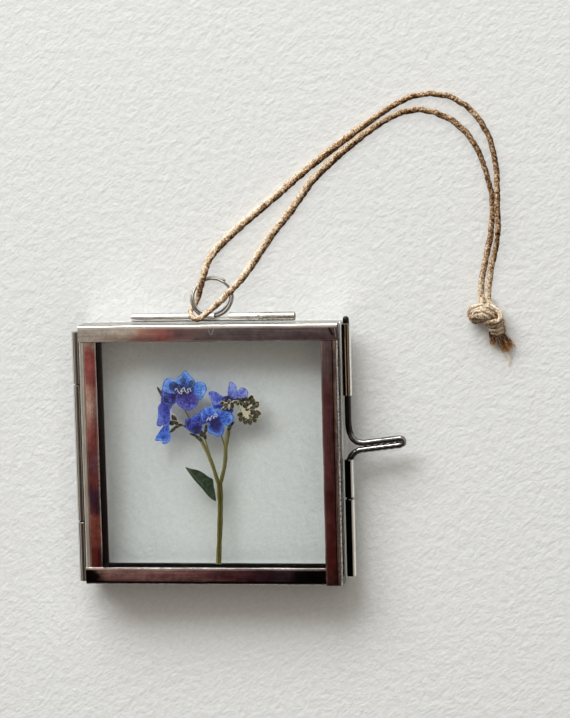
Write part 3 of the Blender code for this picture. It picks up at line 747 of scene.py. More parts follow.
# %% Hang the soft box
SOFT_BOX_PLACE = (-0.45, 1.075, 0.61)
SOFT_BOX_SIZE = (1.31, 0.575)
SOFT_BOX_WATTS = 22.6
BOUNCE_PLACE = (0.4, -0.6, 1.2)
BOUNCE_SIZE = (1.2, 1.2)
BOUNCE_WATTS = 1.3
BOUNCE_COLOUR = (1.0, 0.84, 0.66)


def hang_light(name, spot, size, watts):
    """A rectangular area light that faces the middle of the table."""
    light = bpy.data.lights.new(name, "AREA")
    light.energy = watts
    light.shape = "RECTANGLE"
    light.size, light.size_y = size
    hung = bpy.data.objects.new(name, light)
    hung.location = spot
    hung.rotation_euler = (-Vector(spot)).to_track_quat("-Z", "Y").to_euler()
    bpy.context.collection.objects.link(hung)
    return hung


hang_light("soft_box", SOFT_BOX_PLACE, SOFT_BOX_SIZE, SOFT_BOX_WATTS)
bounce = hang_light("warm_bounce", BOUNCE_PLACE, BOUNCE_SIZE, BOUNCE_WATTS)
bounce.data.color = BOUNCE_COLOUR
bounce.visible_glossy = False
print("soft box:", SOFT_BOX_WATTS, "W, warm bounce:", BOUNCE_WATTS, "W")

# %% Paint the sky
SKY_STRENGTH = 0.95
# Where the dark patch is, which way it turns paler, and where the horizon is brightest.
PATCH_WAY = (-0.2, -0.145, 1.0)
CARD_WAY = (-0.707, 0.707, 0.0)
BRIGHT_WAY = (0.3, 0.93, 0.2)

sky = bpy.data.worlds.new("studio")
bpy.context.scene.world = sky
sky.use_nodes = True
tree = sky.node_tree
way = add_node(tree, "ShaderNodeTexCoord", output="Generated")


def toward(direction):
    """How nearly a ray goes a given way, from -1 to 1."""
    return vector_calc(tree, "DOT_PRODUCT", way, tuple(Vector(direction).normalized()), output="Value")


overhead = ramp(tree, toward(PATCH_WAY), [(0.5, 0.0), (0.82, 1.0)])
across = remap(tree, toward(CARD_WAY), -0.05, 0.13)
patch = ramp(tree, across, [
    (0.0, (62, 50, 50)), (0.45, (108, 88, 84)), (0.8, (160, 142, 132)), (1.0, (190, 182, 172))])
sides = remap(tree, toward(BRIGHT_WAY), -1.0, 1.0)
dome = ramp(tree, sides, [
    (0.0, (70, 66, 60)), (0.3, (104, 98, 90)), (0.5, (176, 173, 166)), (0.75, (214, 212, 208)),
    (1.0, (230, 230, 228))])
background = tree.nodes["Background"]
plug(tree, background.inputs["Color"], mix(tree, overhead, dome, patch))
background.inputs["Strength"].default_value = SKY_STRENGTH
print("sky strength:", SKY_STRENGTH)

# %% [markdown]
# ## Folded strip
#
# Each leaf is a thin metal strip folded round its pane: a wall outside, a flat flange in front and a
# lip behind. The sides lap at the corners, as in the solids, so a flange climbs a little along its
# length. What makes strip look real is what a hand tool leaves: rounded folds, edges rubbed bright,
# and faces that are never quite flat, so reflections wander along them. The rubbed colour on folds
# and noses is partly wear and partly a painted highlight. A bevelled box would be quicker, but it
# can neither lap nor sway. So each side is a loft of the strip's section, and slow noise sways the
# section as it travels.

# %% Measure the strip
# In millimetres: the strip and its folds, how far it laps and rounds, and how far its faces wander.
front_low, front_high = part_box("front_frame")
back_low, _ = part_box("back_frame")
SIDE = (front_high.x - front_low.x) / MM
LEAF = (front_high.z - front_low.z) / MM
STRIP = 0.35
FLANGE = 3.3
LIP = 1.6
FOLD = 0.45
LAP = 0.3
LAP_INSET = 0.04
NOSE = 0.12
CROWN = 0.02
SWAY = 0.03
SWAY_RUN = 5
LEAN_RUN = 7
print("leaf:", round(SIDE, 2), "mm square,", round(LEAF, 2), "mm deep")


# %% Fold and loft the strip
FLANGE_PARTS = 9
FOLD_PARTS = 8
WALL_PARTS = 5
LIP_FOLD_PARTS = 6
CUT_WEAR_AND_SHINE = 0.7
NOSE_WEAR_AND_SHINE = 0.8


def quarter_turn(parts):
    return [math.pi / 2 * i / parts for i in range(parts + 1)]


def strip_path(top):
    """(out, up, facing out, facing up, wear and highlight) along the strip's outer face, from flange to lip.
    """
    edge = SIDE / 2
    path = []
    for i in range(FLANGE_PARTS):
        share = i / FLANGE_PARTS
        out = edge - FLANGE + NOSE + share * (FLANGE - FOLD - NOSE)
        path.append((out, top + CROWN * math.sin(math.pi * share), 0, 1, 0.0 if i else CUT_WEAR_AND_SHINE))
    for a in quarter_turn(FOLD_PARTS):
        path.append((edge - FOLD * (1 - math.sin(a)), top - FOLD * (1 - math.cos(a)),
                     math.sin(a), math.cos(a), math.sin(2 * a)))
    for i in range(1, WALL_PARTS):
        path.append((edge, top - FOLD - (top - 2 * FOLD) * i / WALL_PARTS, 1, 0, 0.0))
    for a in quarter_turn(LIP_FOLD_PARTS):
        path.append((edge - FOLD * (1 - math.cos(a)), FOLD * (1 - math.sin(a)),
                     math.cos(a), -math.sin(a), math.sin(2 * a)))
    path.append((edge - LIP + NOSE, 0, 0, -1, CUT_WEAR_AND_SHINE))
    return path


def strip_section(top):
    """The strip's whole section: its outer face, a round nose, its inner face and a round nose."""
    path = strip_path(top)
    inner = [(out - STRIP * a, up - STRIP * b, a, b, 0.0) for out, up, a, b, _ in reversed(path)]
    far_nose = (SIDE / 2 - LIP, STRIP / 2, -1, 0, NOSE_WEAR_AND_SHINE)
    near_nose = (SIDE / 2 - FLANGE, top - STRIP / 2, -1, 0, NOSE_WEAR_AND_SHINE)
    return [*path, far_nose, *inner, near_nose]


print("points round the strip:", len(strip_section(LEAF)))


# %% Turn loops of points into pieces
def new_piece(name, data, material, crease=40):
    """An object for a finished mesh, smooth but for its sharp corners."""
    made = bpy.data.objects.new(name, data)
    bpy.context.collection.objects.link(made)
    if material:
        data.materials.append(material)
    data.shade_smooth()
    data.set_sharp_from_angle(angle=math.radians(crease))
    print(f"{name}: {len(data.polygons)} faces")
    return made


def skin(shape, loops, capped=True):
    """Joins loops of vertices in order, and caps the two ends."""
    for near, far in zip(loops, loops[1:]):
        for i, corner in enumerate(near):
            following = (i + 1) % len(near)
            shape.faces.new((corner, near[following], far[following], far[i]))
    if capped:
        shape.faces.new(reversed(loops[0]))
        shape.faces.new(loops[-1])


# %% Lay the four sides
STATIONS = 84
# Each side: its turn, the level of its flange at its start and at its end, and how far it stops short.
RAILS = [
    (0, 1, 1, 0),
    (math.pi / 2, 0, 0, LAP_INSET),
    (math.pi, 0, 1, LAP_INSET / 2),
    (-math.pi / 2, 0, 1, LAP_INSET),
]


def rail(shape, number, turn, start_level, end_level, inset):
    """One side of a leaf. Its flange climbs from one level to the other, where it laps a neighbour."""
    worn_and_lit = shape.verts.layers.float["worn_and_lit"]
    edge = shape.verts.layers.float["edge"]
    inside = shape.verts.layers.float["inside"]
    seed = number + 1.0
    reach = SIDE / 2 - inset
    spin = Matrix.Rotation(turn, 3, "Z")
    loops = []
    for station in range(STATIONS + 1):
        share = station / STATIONS
        x = reach * (2 * share - 1)
        top = LEAF - LAP * (1 - start_level - (end_level - start_level) * share)
        section = strip_section(top)
        half = (len(section) - 2) // 2
        loop = []
        for i, (out, up, _, _, wear) in enumerate(section):
            round_strip = min(i, len(section) - 2 - i) / 6
            lift = SWAY * noise.noise(Vector((x / SWAY_RUN, round_strip, seed)))
            lean = SWAY * noise.noise(Vector((x / LEAN_RUN, round_strip, seed + 9)))
            spot = spin @ Vector((x, out + lean, max(up + lift, 0.0)))
            vertex = shape.verts.new(spot)
            vertex[worn_and_lit] = wear
            vertex[edge] = (SIDE / 2 - out) / FLANGE
            vertex[inside] = float(half < i <= 2 * half)
            loop.append(vertex)
        loops.append(loop)
    before = len(shape.faces)
    skin(shape, loops)
    shape.faces.ensure_lookup_table()
    for face in shape.faces[before:]:
        face.material_index = number


def leaf_strip(title, flip, low, finishes, body, node):
    """The four sides of a leaf. The top laps both stiles; the bottom laps one, and one laps it."""
    shape = bmesh.new()
    for name in ("worn_and_lit", "edge", "inside"):
        shape.verts.layers.float.new(name)
    for number, side in enumerate(RAILS):
        rail(shape, number, *side)
    to_model = Matrix.Translation(MIDDLE + Vector((0, 0, low))) @ Matrix.Scale(MM, 4) @ flip
    bmesh.ops.transform(shape, matrix=to_model, verts=shape.verts)
    data = mesh_from(title, shape, outward=True)
    for material in finishes:
        data.materials.append(material)
    return fit(new_piece(title, data, None), body, "frame_metal", node)


# %% [markdown]
# ## Painted reflections on the metal
#
# The strip is bright metal, a little uneven in tone, and it mirrors a room that isn't in the scene.
# That room is painted into the colour: a run of soft painted reflections along each side from end to
# end, with narrow painted highlights and dark painted reflections beside the folds, and a near-black
# painted shade on the strip's inner face. One ramp runs along the side. A second one runs across it,
# over a value that the loft kept on the vertices. Rubbed folds, partly wear and partly painted
# highlight, specks of solder and scratches go on top. The brushing is noise stretched along the
# strip, which raises the surface a little.

# %% Scratches, lines and specks
def scratch_line(tree, spots, start, end, width):
    """1 on a straight scratch between two (x, y) places, 0 away from it."""
    flat = vector_calc(tree, "MULTIPLY", spots, (1.0, 1.0, 0.0))
    start, end = Vector((*start, 0.0)), Vector((*end, 0.0))
    from_start = vector_calc(tree, "SUBTRACT", flat, tuple(start))
    run = tuple((end - start) / (end - start).length_squared)
    share = vector_calc(tree, "DOT_PRODUCT", from_start, run, output="Value")
    share = calc(tree, "MINIMUM", calc(tree, "MAXIMUM", share, 0.0), 1.0)
    aside = vector_calc(tree, "SUBTRACT", from_start, scaled(tree, tuple(end - start), share))
    away = calc(tree, "DIVIDE", vector_calc(tree, "LENGTH", aside, output="Value"), width)
    return ramp(tree, away, [(0.0, 1.0), (1.0, 0.0)])


def along_side(millimetres):
    """A place along a side, from 0 at one corner to 1 at the other."""
    return (millimetres + SIDE / 2) / SIDE


def painted_fold_lines(tree, base, edge, band):
    """Painted highlights and reflections beside the folds; band holds (place, colour, cover) stops."""
    shades = ramp(tree, edge, [(spot, shade) for spot, shade, _ in band])
    cover = ramp(tree, edge, [(spot, cover) for spot, _, cover in band])
    return mix(tree, cover, base, shades)


def solder_specks(tree, base, spots, share, specks):
    """Dark specks that solder has left between two places along a side."""
    low, high = (along_side(spot) for spot in specks)
    zone = ramp(tree, share, [(low - 0.02, 0.0), (low + 0.04, 1.0), (high - 0.02, 1.0), (high, 0.6)])
    speck = ramp(tree, cloud(tree, spots, 2.6, detail=5, roughness=0.7), [(0.53, 0.0), (0.57, 0.85)])
    return mix(tree, times(tree, zone, speck), base, colour(58, 54, 50))


# %% Mix the metal
def metal(name, axis, stops, rough=(0.08, 0.24), scratch=0.02, band=None, layer="edge", scratches=(),
          specks=None):
    """Metal whose painted reflections change colour along an axis; stops are (millimetres, colour).

    The band's painted highlights and reflections run the other way, over the layer's value, and specks
    lie between two places.
    """
    made, tree, shader = finish(name, Metallic=1.0)
    spots = bench(tree)
    split = tree.nodes.new("ShaderNodeSeparateXYZ")
    plug(tree, split.inputs[0], spots)
    drift = centred(tree, cloud(tree, spots, 0.35, detail=3, roughness=0.6), 1.0)
    run = plus(tree, split.outputs[axis], times(tree, drift, 4.0))
    share = remap(tree, run, -SIDE / 2, SIDE / 2)
    # The colours along the side are painted reflections of the room.
    base = ramp(tree, share, [(along_side(spot), shade) for spot, shade in stops])
    patches = cloud(tree, spots, 1.2, detail=5, roughness=0.65)
    base = mix(tree, 0.6, base, ramp(tree, patches, [(0.3, 0.6), (0.7, 1.0)]), blend="MULTIPLY")
    # Painted highlights and reflections beside the folds.
    if band:
        edge = plus(tree, attribute(tree, layer), times(tree, drift, 0.06))
        base = painted_fold_lines(tree, base, edge, band)
    if specks:
        base = solder_specks(tree, base, spots, share, specks)
    # Folds, noses, cut edges and filed tube ends go near white: partly wear, partly a painted highlight.
    rubbed_and_lit = ramp(tree, cloud(tree, spots, 2.5), [(0.3, 0.2), (0.6, 0.9)])
    base = mix(tree, times(tree, attribute(tree, "worn_and_lit"), rubbed_and_lit), base, colour(226, 220, 212))
    # The strip's inner face, which faces the glass, is painted near black: painted shade.
    base = mix(tree, attribute(tree, "inside"), base, colour(11, 9, 9))
    for start, end, width, shade in scratches:
        base = mix(tree, scratch_line(tree, spots, start, end, width), base, shade)
    paint(tree, shader, base)
    wear = cloud(tree, spots, 0.8, detail=3)
    plug(tree, shader.inputs["Roughness"], remap(tree, wear, 0.3, 0.7, *rough))
    stretch = [5.0, 5.0, 5.0]
    stretch["XYZ".index(axis)] = 0.12
    brushed = cloud(tree, bench(tree, tuple(stretch)), 1.0, detail=3)
    raise_surface(tree, shader, brushed, scratch, strength=0.5)
    return made


# %% The painted reflections of each side
# Stops run from left to right, or from bottom to top, in millimetres from the middle of the glass.
# Their colours are painted reflections of a room. In the bands, the pale colour is a painted
# highlight and the dark ones are painted reflections.
PALE = colour(250, 248, 244)
WALL = colour(150, 147, 142)
DARK_MARK = colour(20, 18, 18)
PAINTED_BLACK = colour(12, 10, 10)
TOP_METAL = metal("tarnished_top", "X", [
    (-25, (248, 248, 240)), (-16, (240, 236, 224)), (-12, (226, 176, 164)), (-9, (219, 150, 148)),
    (-5, (176, 150, 152)), (3, (160, 158, 163)), (25, (158, 146, 152))],
    band=[(0.0, WALL, 1.0), (0.03, WALL, 1.0), (0.06, PALE, 1.0), (0.17, PALE, 1.0), (0.22, PALE, 0.4),
          (0.28, PALE, 0.0)],
    scratches=[
        ((0.45, 24.0), (0.7, 23.2), 0.08, PALE), ((0.7, 23.2), (1.05, 23.05), 0.08, PALE),
        ((1.05, 23.05), (1.4, 24.05), 0.08, PALE),
        ((-2.4, 21.9), (-1.8, 22.4), 0.1, DARK_MARK), ((-1.8, 22.4), (-1.4, 22.1), 0.08, DARK_MARK),
        ((23.5, 24.05), (24.15, 22.9), 0.34, DARK_MARK), ((24.55, 24.1), (24.75, 22.5), 0.12, PALE)])
LEFT_METAL = metal("tarnished_left", "Y", [
    (-25, (120, 62, 62)), (-19, (136, 70, 66)), (-16, (206, 128, 116)), (-12, (206, 132, 120)),
    (-10, (112, 76, 96)), (-7, (108, 74, 98)), (-5, (176, 104, 100)), (-2, (160, 112, 124)),
    (0, (170, 108, 112)), (4, (206, 130, 124)), (9, (255, 224, 212)), (12, (252, 206, 194)),
    (15, (206, 120, 120)), (19.5, (200, 116, 114)), (21, (214, 190, 176)), (25, (226, 218, 204))],
    band=[
        (0.0, PALE, 1.0), (0.1, PALE, 1.0), (0.12, (60, 56, 54), 1.0), (0.15, (224, 218, 208), 1.0),
        (0.27, (214, 206, 194), 1.0), (0.3, (84, 74, 70), 1.0), (0.33, (200, 188, 174), 0.8),
        (0.37, (190, 178, 164), 0.0)])
BOTTOM_METAL = metal("tarnished_bottom", "X", [
    (-25, (22, 20, 20)), (-23.2, (34, 30, 30)), (-21, (236, 196, 190)), (-6, (222, 178, 178)),
    (4, (166, 118, 126)), (9, (112, 78, 92)), (14, (108, 92, 104)), (17, (44, 38, 42)), (20, (30, 27, 30)),
    (25, (70, 60, 62))],
    band=[(0.0, (30, 28, 28), 1.0), (0.16, (30, 28, 28), 1.0), (0.26, (60, 50, 50), 0.0),
          (0.84, PALE, 0.0), (0.88, PALE, 0.9), (1.0, PALE, 1.0)],
    scratches=[((22.6, -22.6), (23.6, -23.6), 0.12, PALE)])
RIGHT_METAL = metal("tarnished_right", "Y", [
    (-25, (116, 84, 84)), (-21, (146, 78, 72)), (-12, (150, 92, 90)), (2, (150, 104, 108)),
    (10, (150, 104, 110)), (17, (146, 128, 132)), (25, (166, 150, 150))],
    band=[
        (0.0, PAINTED_BLACK, 1.0), (0.06, PAINTED_BLACK, 1.0), (0.1, PALE, 1.0), (0.18, PALE, 1.0),
        (0.21, (190, 172, 148), 1.0), (0.27, (190, 172, 148), 1.0), (0.29, (60, 44, 42), 1.0),
        (0.33, (70, 50, 48), 1.0), (0.37, (150, 90, 90), 0.0)])
sides = [TOP_METAL, LEFT_METAL, BOTTOM_METAL, RIGHT_METAL]

# %% [markdown]
# Both leaves are bent alike. The back one is the same leaf turned over, so that its flange faces down.

# %% Make both leaves
FLIPPED = Matrix.Translation((0, 0, LEAF)) @ Matrix.Rotation(math.pi, 4, "Y")
leaf_strip("front_strip", Matrix.Identity(4), front_low.z, sides, "front_leaf", "front_frame")
leaf_strip("back_strip", FLIPPED, back_low.z, sides, "back_leaf", "back_frame")

# %% [markdown]
# ## Panes
#
# A pane is cut glass: clear and flat, with a fine arris ground along its edges. Looked at through
# its thickness the glass is green, because light travels far in it. A box with bevelled edges is all
# that it needs. The faces get clear glass with a breath of green, and the ground edges get the same
# glass, but rougher and deeper in colour. Cycles has a filter that roughens sharp reflections after
# the first bounce. It would darken all that lies behind two panes, so it is turned off for this
# scene. Light that goes down through both panes and back up crosses eight surfaces, so it may bounce
# more often than usual.

# %% Cut the panes
ARRIS = 0.12 * MM
bpy.context.scene.cycles.blur_glossy = 0.0
bpy.context.scene.cycles.max_bounces = 24
bpy.context.scene.cycles.transmission_bounces = 24
GLASS, tree, shader = finish("clear_glass", Roughness=0.0, IOR=1.4, Transmission_Weight=1.0)
clean = mix(tree, cloud(tree, bench(tree), 0.05), (0.987, 1.0, 1.0, 1.0), (0.98, 0.997, 0.995, 1.0))
paint(tree, shader, clean)
GLASS_EDGE, tree, shader = finish("ground_glass_edge", Roughness=0.35, IOR=1.5, Transmission_Weight=1.0)
frost = cloud(tree, bench(tree), 3.0, detail=3)
paint(tree, shader, mix(tree, frost, colour(120, 186, 172), colour(164, 214, 200)))


def block(low, high):
    """A box between two corners."""
    shape = bmesh.new()
    bmesh.ops.create_cube(shape, size=1)
    bmesh.ops.scale(shape, vec=high - low, verts=shape.verts)
    bmesh.ops.translate(shape, vec=(high + low) / 2, verts=shape.verts)
    return shape


def pane(name, node, body):
    shape = block(*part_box(node))
    bmesh.ops.bevel(shape, geom=shape.edges[:], offset=ARRIS, segments=1, affect="EDGES")
    for face in shape.faces:
        face.material_index = 0 if abs(face.normal.z) > 0.9 else 1
    data = mesh_from(name, shape)
    data.materials.append(GLASS)
    made = new_piece(name, data, GLASS_EDGE, crease=20)
    return fit(made, body, "pane_glass", node)


pane("front_pane", "front_glass", "front_leaf")
pane("back_pane", "back_glass", "back_leaf")

# %% [markdown]
# ## Rolled tubes
#
# The hinge and the latch run in tubes rolled from sheet, so each one has an open seam along its
# length. A cylinder has no seam and no wall, so the section of the sheet, a ring with a gap, is
# lofted along the tube. The seam is turned to the wall that the tube is soldered to. The ends are
# filed, which rounds them a little, and hand rolling leaves slow bumps. Lengthwise bands of black,
# brown and bright metal are painted along them: painted reflections and highlights.

# %% Roll the tubes
TUBE_WALL = 0.175
SEAM = math.radians(9)
TUBE_ARC = 44
FILED = 0.06


def tube_section(radius, seam, trim):
    """(across, up) points of a rolled sheet: the outside one way, the inside back."""
    angles = [seam + SEAM / 2 + (math.tau - SEAM) * i / TUBE_ARC for i in range(TUBE_ARC + 1)]
    outer = [((radius - trim) * math.cos(a), (radius - trim) * math.sin(a)) for a in angles]
    inner = [((radius - TUBE_WALL) * math.cos(a), (radius - TUBE_WALL) * math.sin(a)) for a in angles]
    return [*outer, *reversed(inner)]


def tube_mesh(name, node, seam):
    """A tube that fills its solid's box, rolled round the box's longest side."""
    low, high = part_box(node)
    middle, size = (low + high) / 2, (high - low) / MM
    lengthwise = 0 if size.x > size.y else 1
    radius, length = min(size) / 2, size[lengthwise]
    steps = max(4, round(length))
    stations = [-length / 2, -length / 2 + FILED]
    stations += [-length / 2 + length * i / steps for i in range(1, steps)]
    stations += [length / 2 - FILED, length / 2]
    shape = bmesh.new()
    worn_and_lit = shape.verts.layers.float.new("worn_and_lit")
    turn = shape.verts.layers.float.new("turn")
    loops = []
    for i, far in enumerate(stations):
        at_end = i in (0, len(stations) - 1)
        loop = []
        for across, up in tube_section(radius, seam, FILED if at_end else 0.0):
            bump = 1 + 0.012 * noise.noise(Vector((far / 2, across, up)))
            spot = (far, across * bump, up * bump) if lengthwise == 0 else (across * bump, far, up * bump)
            vertex = shape.verts.new(middle + Vector(spot) * MM)
            vertex[worn_and_lit] = 0.9 if at_end else 0.0
            vertex[turn] = 0.5 + 0.5 * across / radius
            loop.append(vertex)
        loops.append(loop)
    skin(shape, loops)
    return mesh_from(name, shape, outward=True)


# %% Bands of painted reflection
# Painted reflections and highlights across a tube, from its left flank to its right one:
# (place, colour, cover).
HINGE_METAL = metal("hinge_tubes", "Y", [(-25, (190, 187, 182)), (25, (196, 192, 186))], band=[
    (0.0, (120, 118, 116), 1.0), (0.14, (226, 225, 222), 1.0), (0.38, (196, 193, 188), 1.0),
    (0.46, (66, 62, 60), 1.0), (0.54, (190, 186, 180), 1.0), (0.72, (150, 145, 138), 1.0),
    (0.84, (30, 24, 24), 1.0), (1.0, (30, 24, 24), 1.0)], layer="turn")
UPPER_METAL = metal("upper_tube", "Y", [(-25, (120, 104, 92)), (25, (130, 112, 98))], band=[
    (0.0, PAINTED_BLACK, 1.0), (0.04, PAINTED_BLACK, 1.0), (0.08, (150, 132, 120), 1.0),
    (0.4, (226, 204, 184), 1.0), (0.52, (150, 130, 112), 1.0), (0.6, (40, 34, 30), 1.0),
    (0.68, (190, 166, 136), 1.0), (0.8, (80, 68, 58), 1.0), (0.9, PALE, 1.0), (1.0, PALE, 1.0)],
    layer="turn", scratch=0.01)
LOWER_METAL = metal("lower_tubes", "Y", [(-25, (40, 32, 30)), (25, (60, 44, 38))], band=[
    (0.0, PAINTED_BLACK, 1.0), (0.1, PAINTED_BLACK, 1.0), (0.2, (70, 44, 40), 1.0), (0.34, (60, 38, 36), 1.0),
    (0.46, PAINTED_BLACK, 1.0), (0.66, (20, 18, 18), 1.0), (0.76, (200, 190, 172), 1.0), (0.9, PALE, 1.0),
    (1.0, PALE, 1.0)], layer="turn", scratch=0.01)


# %% Set the tubes in place
def rolled_tube(name, node, seam, body, material):
    made = new_piece(name, tube_mesh(name, node, math.radians(seam)), material)
    return fit(made, body, "tube_metal", node)


for end, body in (("top", "front_leaf"), ("middle", "back_leaf"), ("bottom", "front_leaf")):
    rolled_tube(f"knuckle_{end}", f"hinge_knuckle_{end}", 0, body, HINGE_METAL)
rolled_tube("upper_latch_tube", "latch_tube_upper", 180, "front_leaf", UPPER_METAL)
rolled_tube("lower_latch_tube", "latch_tube_lower", 180, "front_leaf", LOWER_METAL)
rolled_tube("receiver_tube", "latch_receiver", 180, "back_leaf", LOWER_METAL)

# %% [markdown]
# ## The hanger and its slots
#
# The hanger is one more rolled tube, along the top wall. Two slots are filed into its outer half, so
# that the ring can pass under the bridge left between them. Leaving faces out of the loft would give
# a slot with open sides, so a box is cut away with a Boolean, which also closes them. The cut is made
# on a helper object, whose result is kept as plain mesh.

# %% Roll the hanger and file its slots
RING_X = 0.23
SLOT = (0.8, 3.7)
SLOT_FLOOR = 0.07
HANGER_SEAM = math.radians(109)
HANGER_METAL = metal("soldered_hanger", "X", [
    (-25, (190, 188, 184)), (-15, (214, 213, 210)), (0, (222, 220, 214)), (9, (232, 230, 224)),
    (12, (196, 190, 180)), (25, (214, 210, 202))],
    rough=(0.3, 0.55), scratch=0.06, specks=(7.0, 16.5))


def cut(data, boxes):
    """The mesh with boxes cut away from it."""
    blank = bpy.data.objects.new("blank", data)
    helpers = [blank]
    for low, high in boxes:
        helper = bpy.data.objects.new("cutter", mesh_from("cutter", block(low, high)))
        helpers.append(helper)
        modifier = blank.modifiers.new("slot", "BOOLEAN")
        modifier.operation = "DIFFERENCE"
        modifier.object = helper
    for helper in helpers:
        bpy.context.collection.objects.link(helper)
    result = bpy.data.meshes.new_from_object(blank.evaluated_get(bpy.context.evaluated_depsgraph_get()))
    for helper in helpers:
        bpy.data.objects.remove(helper)
    return result


hanger_low, hanger_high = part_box("hanger_tube")
hanger_middle = (hanger_low + hanger_high) / 2
slots = []
for way_out in (-1, 1):
    near, far = sorted(MIDDLE.x + (RING_X + way_out * reach) * MM for reach in SLOT)
    low = Vector((near, hanger_middle.y - SLOT_FLOOR * MM, hanger_low.z - MM))
    slots.append((low, Vector((far, hanger_high.y + MM, hanger_high.z + MM))))
hanger_data = cut(tube_mesh("hanger", "hanger_tube", HANGER_SEAM), slots)
fit(new_piece("hanger", hanger_data, HANGER_METAL), "back_leaf", "tube_metal", "hanger_tube")

# %% [markdown]
# ## Wires
#
# The ring, the latch and the hinge pin are drawn wire. A section swept along a route makes them all.
# A curve with a round bevel would do for most of it, but here the section changes on the way: the
# wire's ends are rounded off, and pliers have left flats on the latch handle. The ring is a coil of
# two turns, the second a little smaller than the first, so its route is a formula and not a list. Its
# shadow is switched off for the same reason as the loop's.

# %% Sweep a section along a route
def sweep(shape, route, up, section):
    """Skins a changing section along a route; section(share) gives (across, up) in millimetres."""
    loops = []
    for i, spot in enumerate(route):
        along = (route[min(i + 1, len(route) - 1)] - route[max(i - 1, 0)]).normalized()
        across = along.cross(up).normalized()
        rise = across.cross(along)
        corners = section(i / (len(route) - 1))
        loops.append([shape.verts.new(spot + (across * u + rise * v) * MM) for u, v in corners])
    skin(shape, loops)
    return loops


END_TURNS = [math.radians(angle) for angle in (14, 32, 50, 70)]
UP = Vector((0, 0, 1))


def with_round_ends(route, radius):
    """A route with close points at both ends, and how thick the wire is at each, from 0 to 1."""
    ends = []
    for tip, following in ((route[0], route[1]), (route[-1], route[-2])):
        inward = (following - tip).normalized()
        ends.append([(tip + inward * radius * (1 - math.cos(a)), math.sin(a)) for a in END_TURNS])
    between = [
        (spot, 1.0) for spot in route
        if min((spot - route[0]).length, (spot - route[-1]).length) > radius
    ]
    return [*ends[0], *between, *reversed(ends[1])]


def circle(radius, sides=16):
    angles = [math.tau * i / sides for i in range(sides)]
    return [(radius * math.cos(a), radius * math.sin(a)) for a in angles]


def wire(name, route, diameter, up, material, marks=None):
    """A drawn wire with round ends. marks(spot) thins it where a tool has pressed it."""
    radius = diameter / 2
    rounded = with_round_ends(route, radius * MM)
    spots = [spot for spot, _ in rounded]

    def section(share):
        spot, full = rounded[round(share * (len(rounded) - 1))]
        return circle(radius * full * (marks(spot) if marks else 1.0))

    shape = bmesh.new()
    sweep(shape, spots, up, section)
    return new_piece(name, mesh_from(name, shape, outward=True), material)


# %% The finish of the wires
# Where the latch handle lies, from 0.2 to 2.6 mm, the wire is painted lighter: a painted reflection.
WIRE_METAL = metal("dark_wire", "Y", [
    (-25, (50, 48, 48)), (-1.0, (56, 54, 54)), (0.2, (150, 148, 146)), (2.6, (150, 148, 146)),
    (3.8, (56, 54, 54)), (25, (56, 53, 52))], rough=(0.06, 0.2))
RING_METAL = metal(
    "ring_wire", "Y", [(-25, (150, 142, 134)), (25, (156, 150, 142))], rough=(0.1, 0.3))

# %% Coil the ring
RING_RADIUS = 4.0
RING_INNER = 3.55
RING_WIRE = 0.52
RING_PITCH = 0.56
RING_TILT = math.radians(22)
RING_START = math.radians(52)
RING_CROSSING = math.radians(48)
RING_STEPS = 200

ring_total = 2 * math.tau - RING_CROSSING
ring_lean = Matrix.Rotation(-RING_TILT, 3, "X")
ring_foot = Vector((MIDDLE.x + RING_X * MM, hanger_middle.y, hanger_middle.z))
ring_route = []
for step in range(RING_STEPS + 1):
    turned = ring_total * step / RING_STEPS
    climb = min(max((turned - math.tau + RING_CROSSING) / RING_CROSSING, 0), 1)
    rise = RING_PITCH * (climb * climb * (3 - 2 * climb) - 0.5)
    angle = RING_START + turned
    radius = RING_RADIUS + (RING_INNER - RING_RADIUS) * climb
    flat = Vector((radius * math.cos(angle), RING_RADIUS + radius * math.sin(angle), rise))
    ring_route.append(ring_foot + ring_lean @ (flat * MM))
ring = wire("wire_ring", ring_route, RING_WIRE, ring_lean @ UP, RING_METAL)
ring.visible_shadow = False
fit(ring, "back_leaf", "ring_metal", "hanging_ring")

# %% Bend the latch
LATCH_WIRE = 1.24
latch_low, latch_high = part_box("latch_wire")
tube_low, tube_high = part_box("latch_tube_upper")
LATCH_X = ((tube_low + tube_high) / 2 - MIDDLE).x / MM
HALF_DEPTH = (tube_low + tube_high).z / 2 / MM
HANDLE_OUT = [(26.2, 7.6), (26.2, 5.6), (26.38, 4.1), (26.85, 2.85), (27.7, 2.05), (28.9, 1.8)]
HANDLE_BACK = [(28.9, 0.55), (28.0, 0.4), (27.2, -0.02), (26.6, -0.75), (26.25, -1.6), (26.2, -2.9)]
HANDLE_TIP = Vector((36.0, 2.05))
HANDLE_LOOP = 0.62
HANDLE_SLOPE = math.radians(7)
HANDLE_STEP = 0.25
TIP_STEPS = 16
PLIER_BITES = 1.25
PLIER_DEPTH = 0.16
LOWER_RUN = (28.9, 1.4)
LOWER_RUN_START = 27.6
LOWER_RUN_SLOPE = 0.12


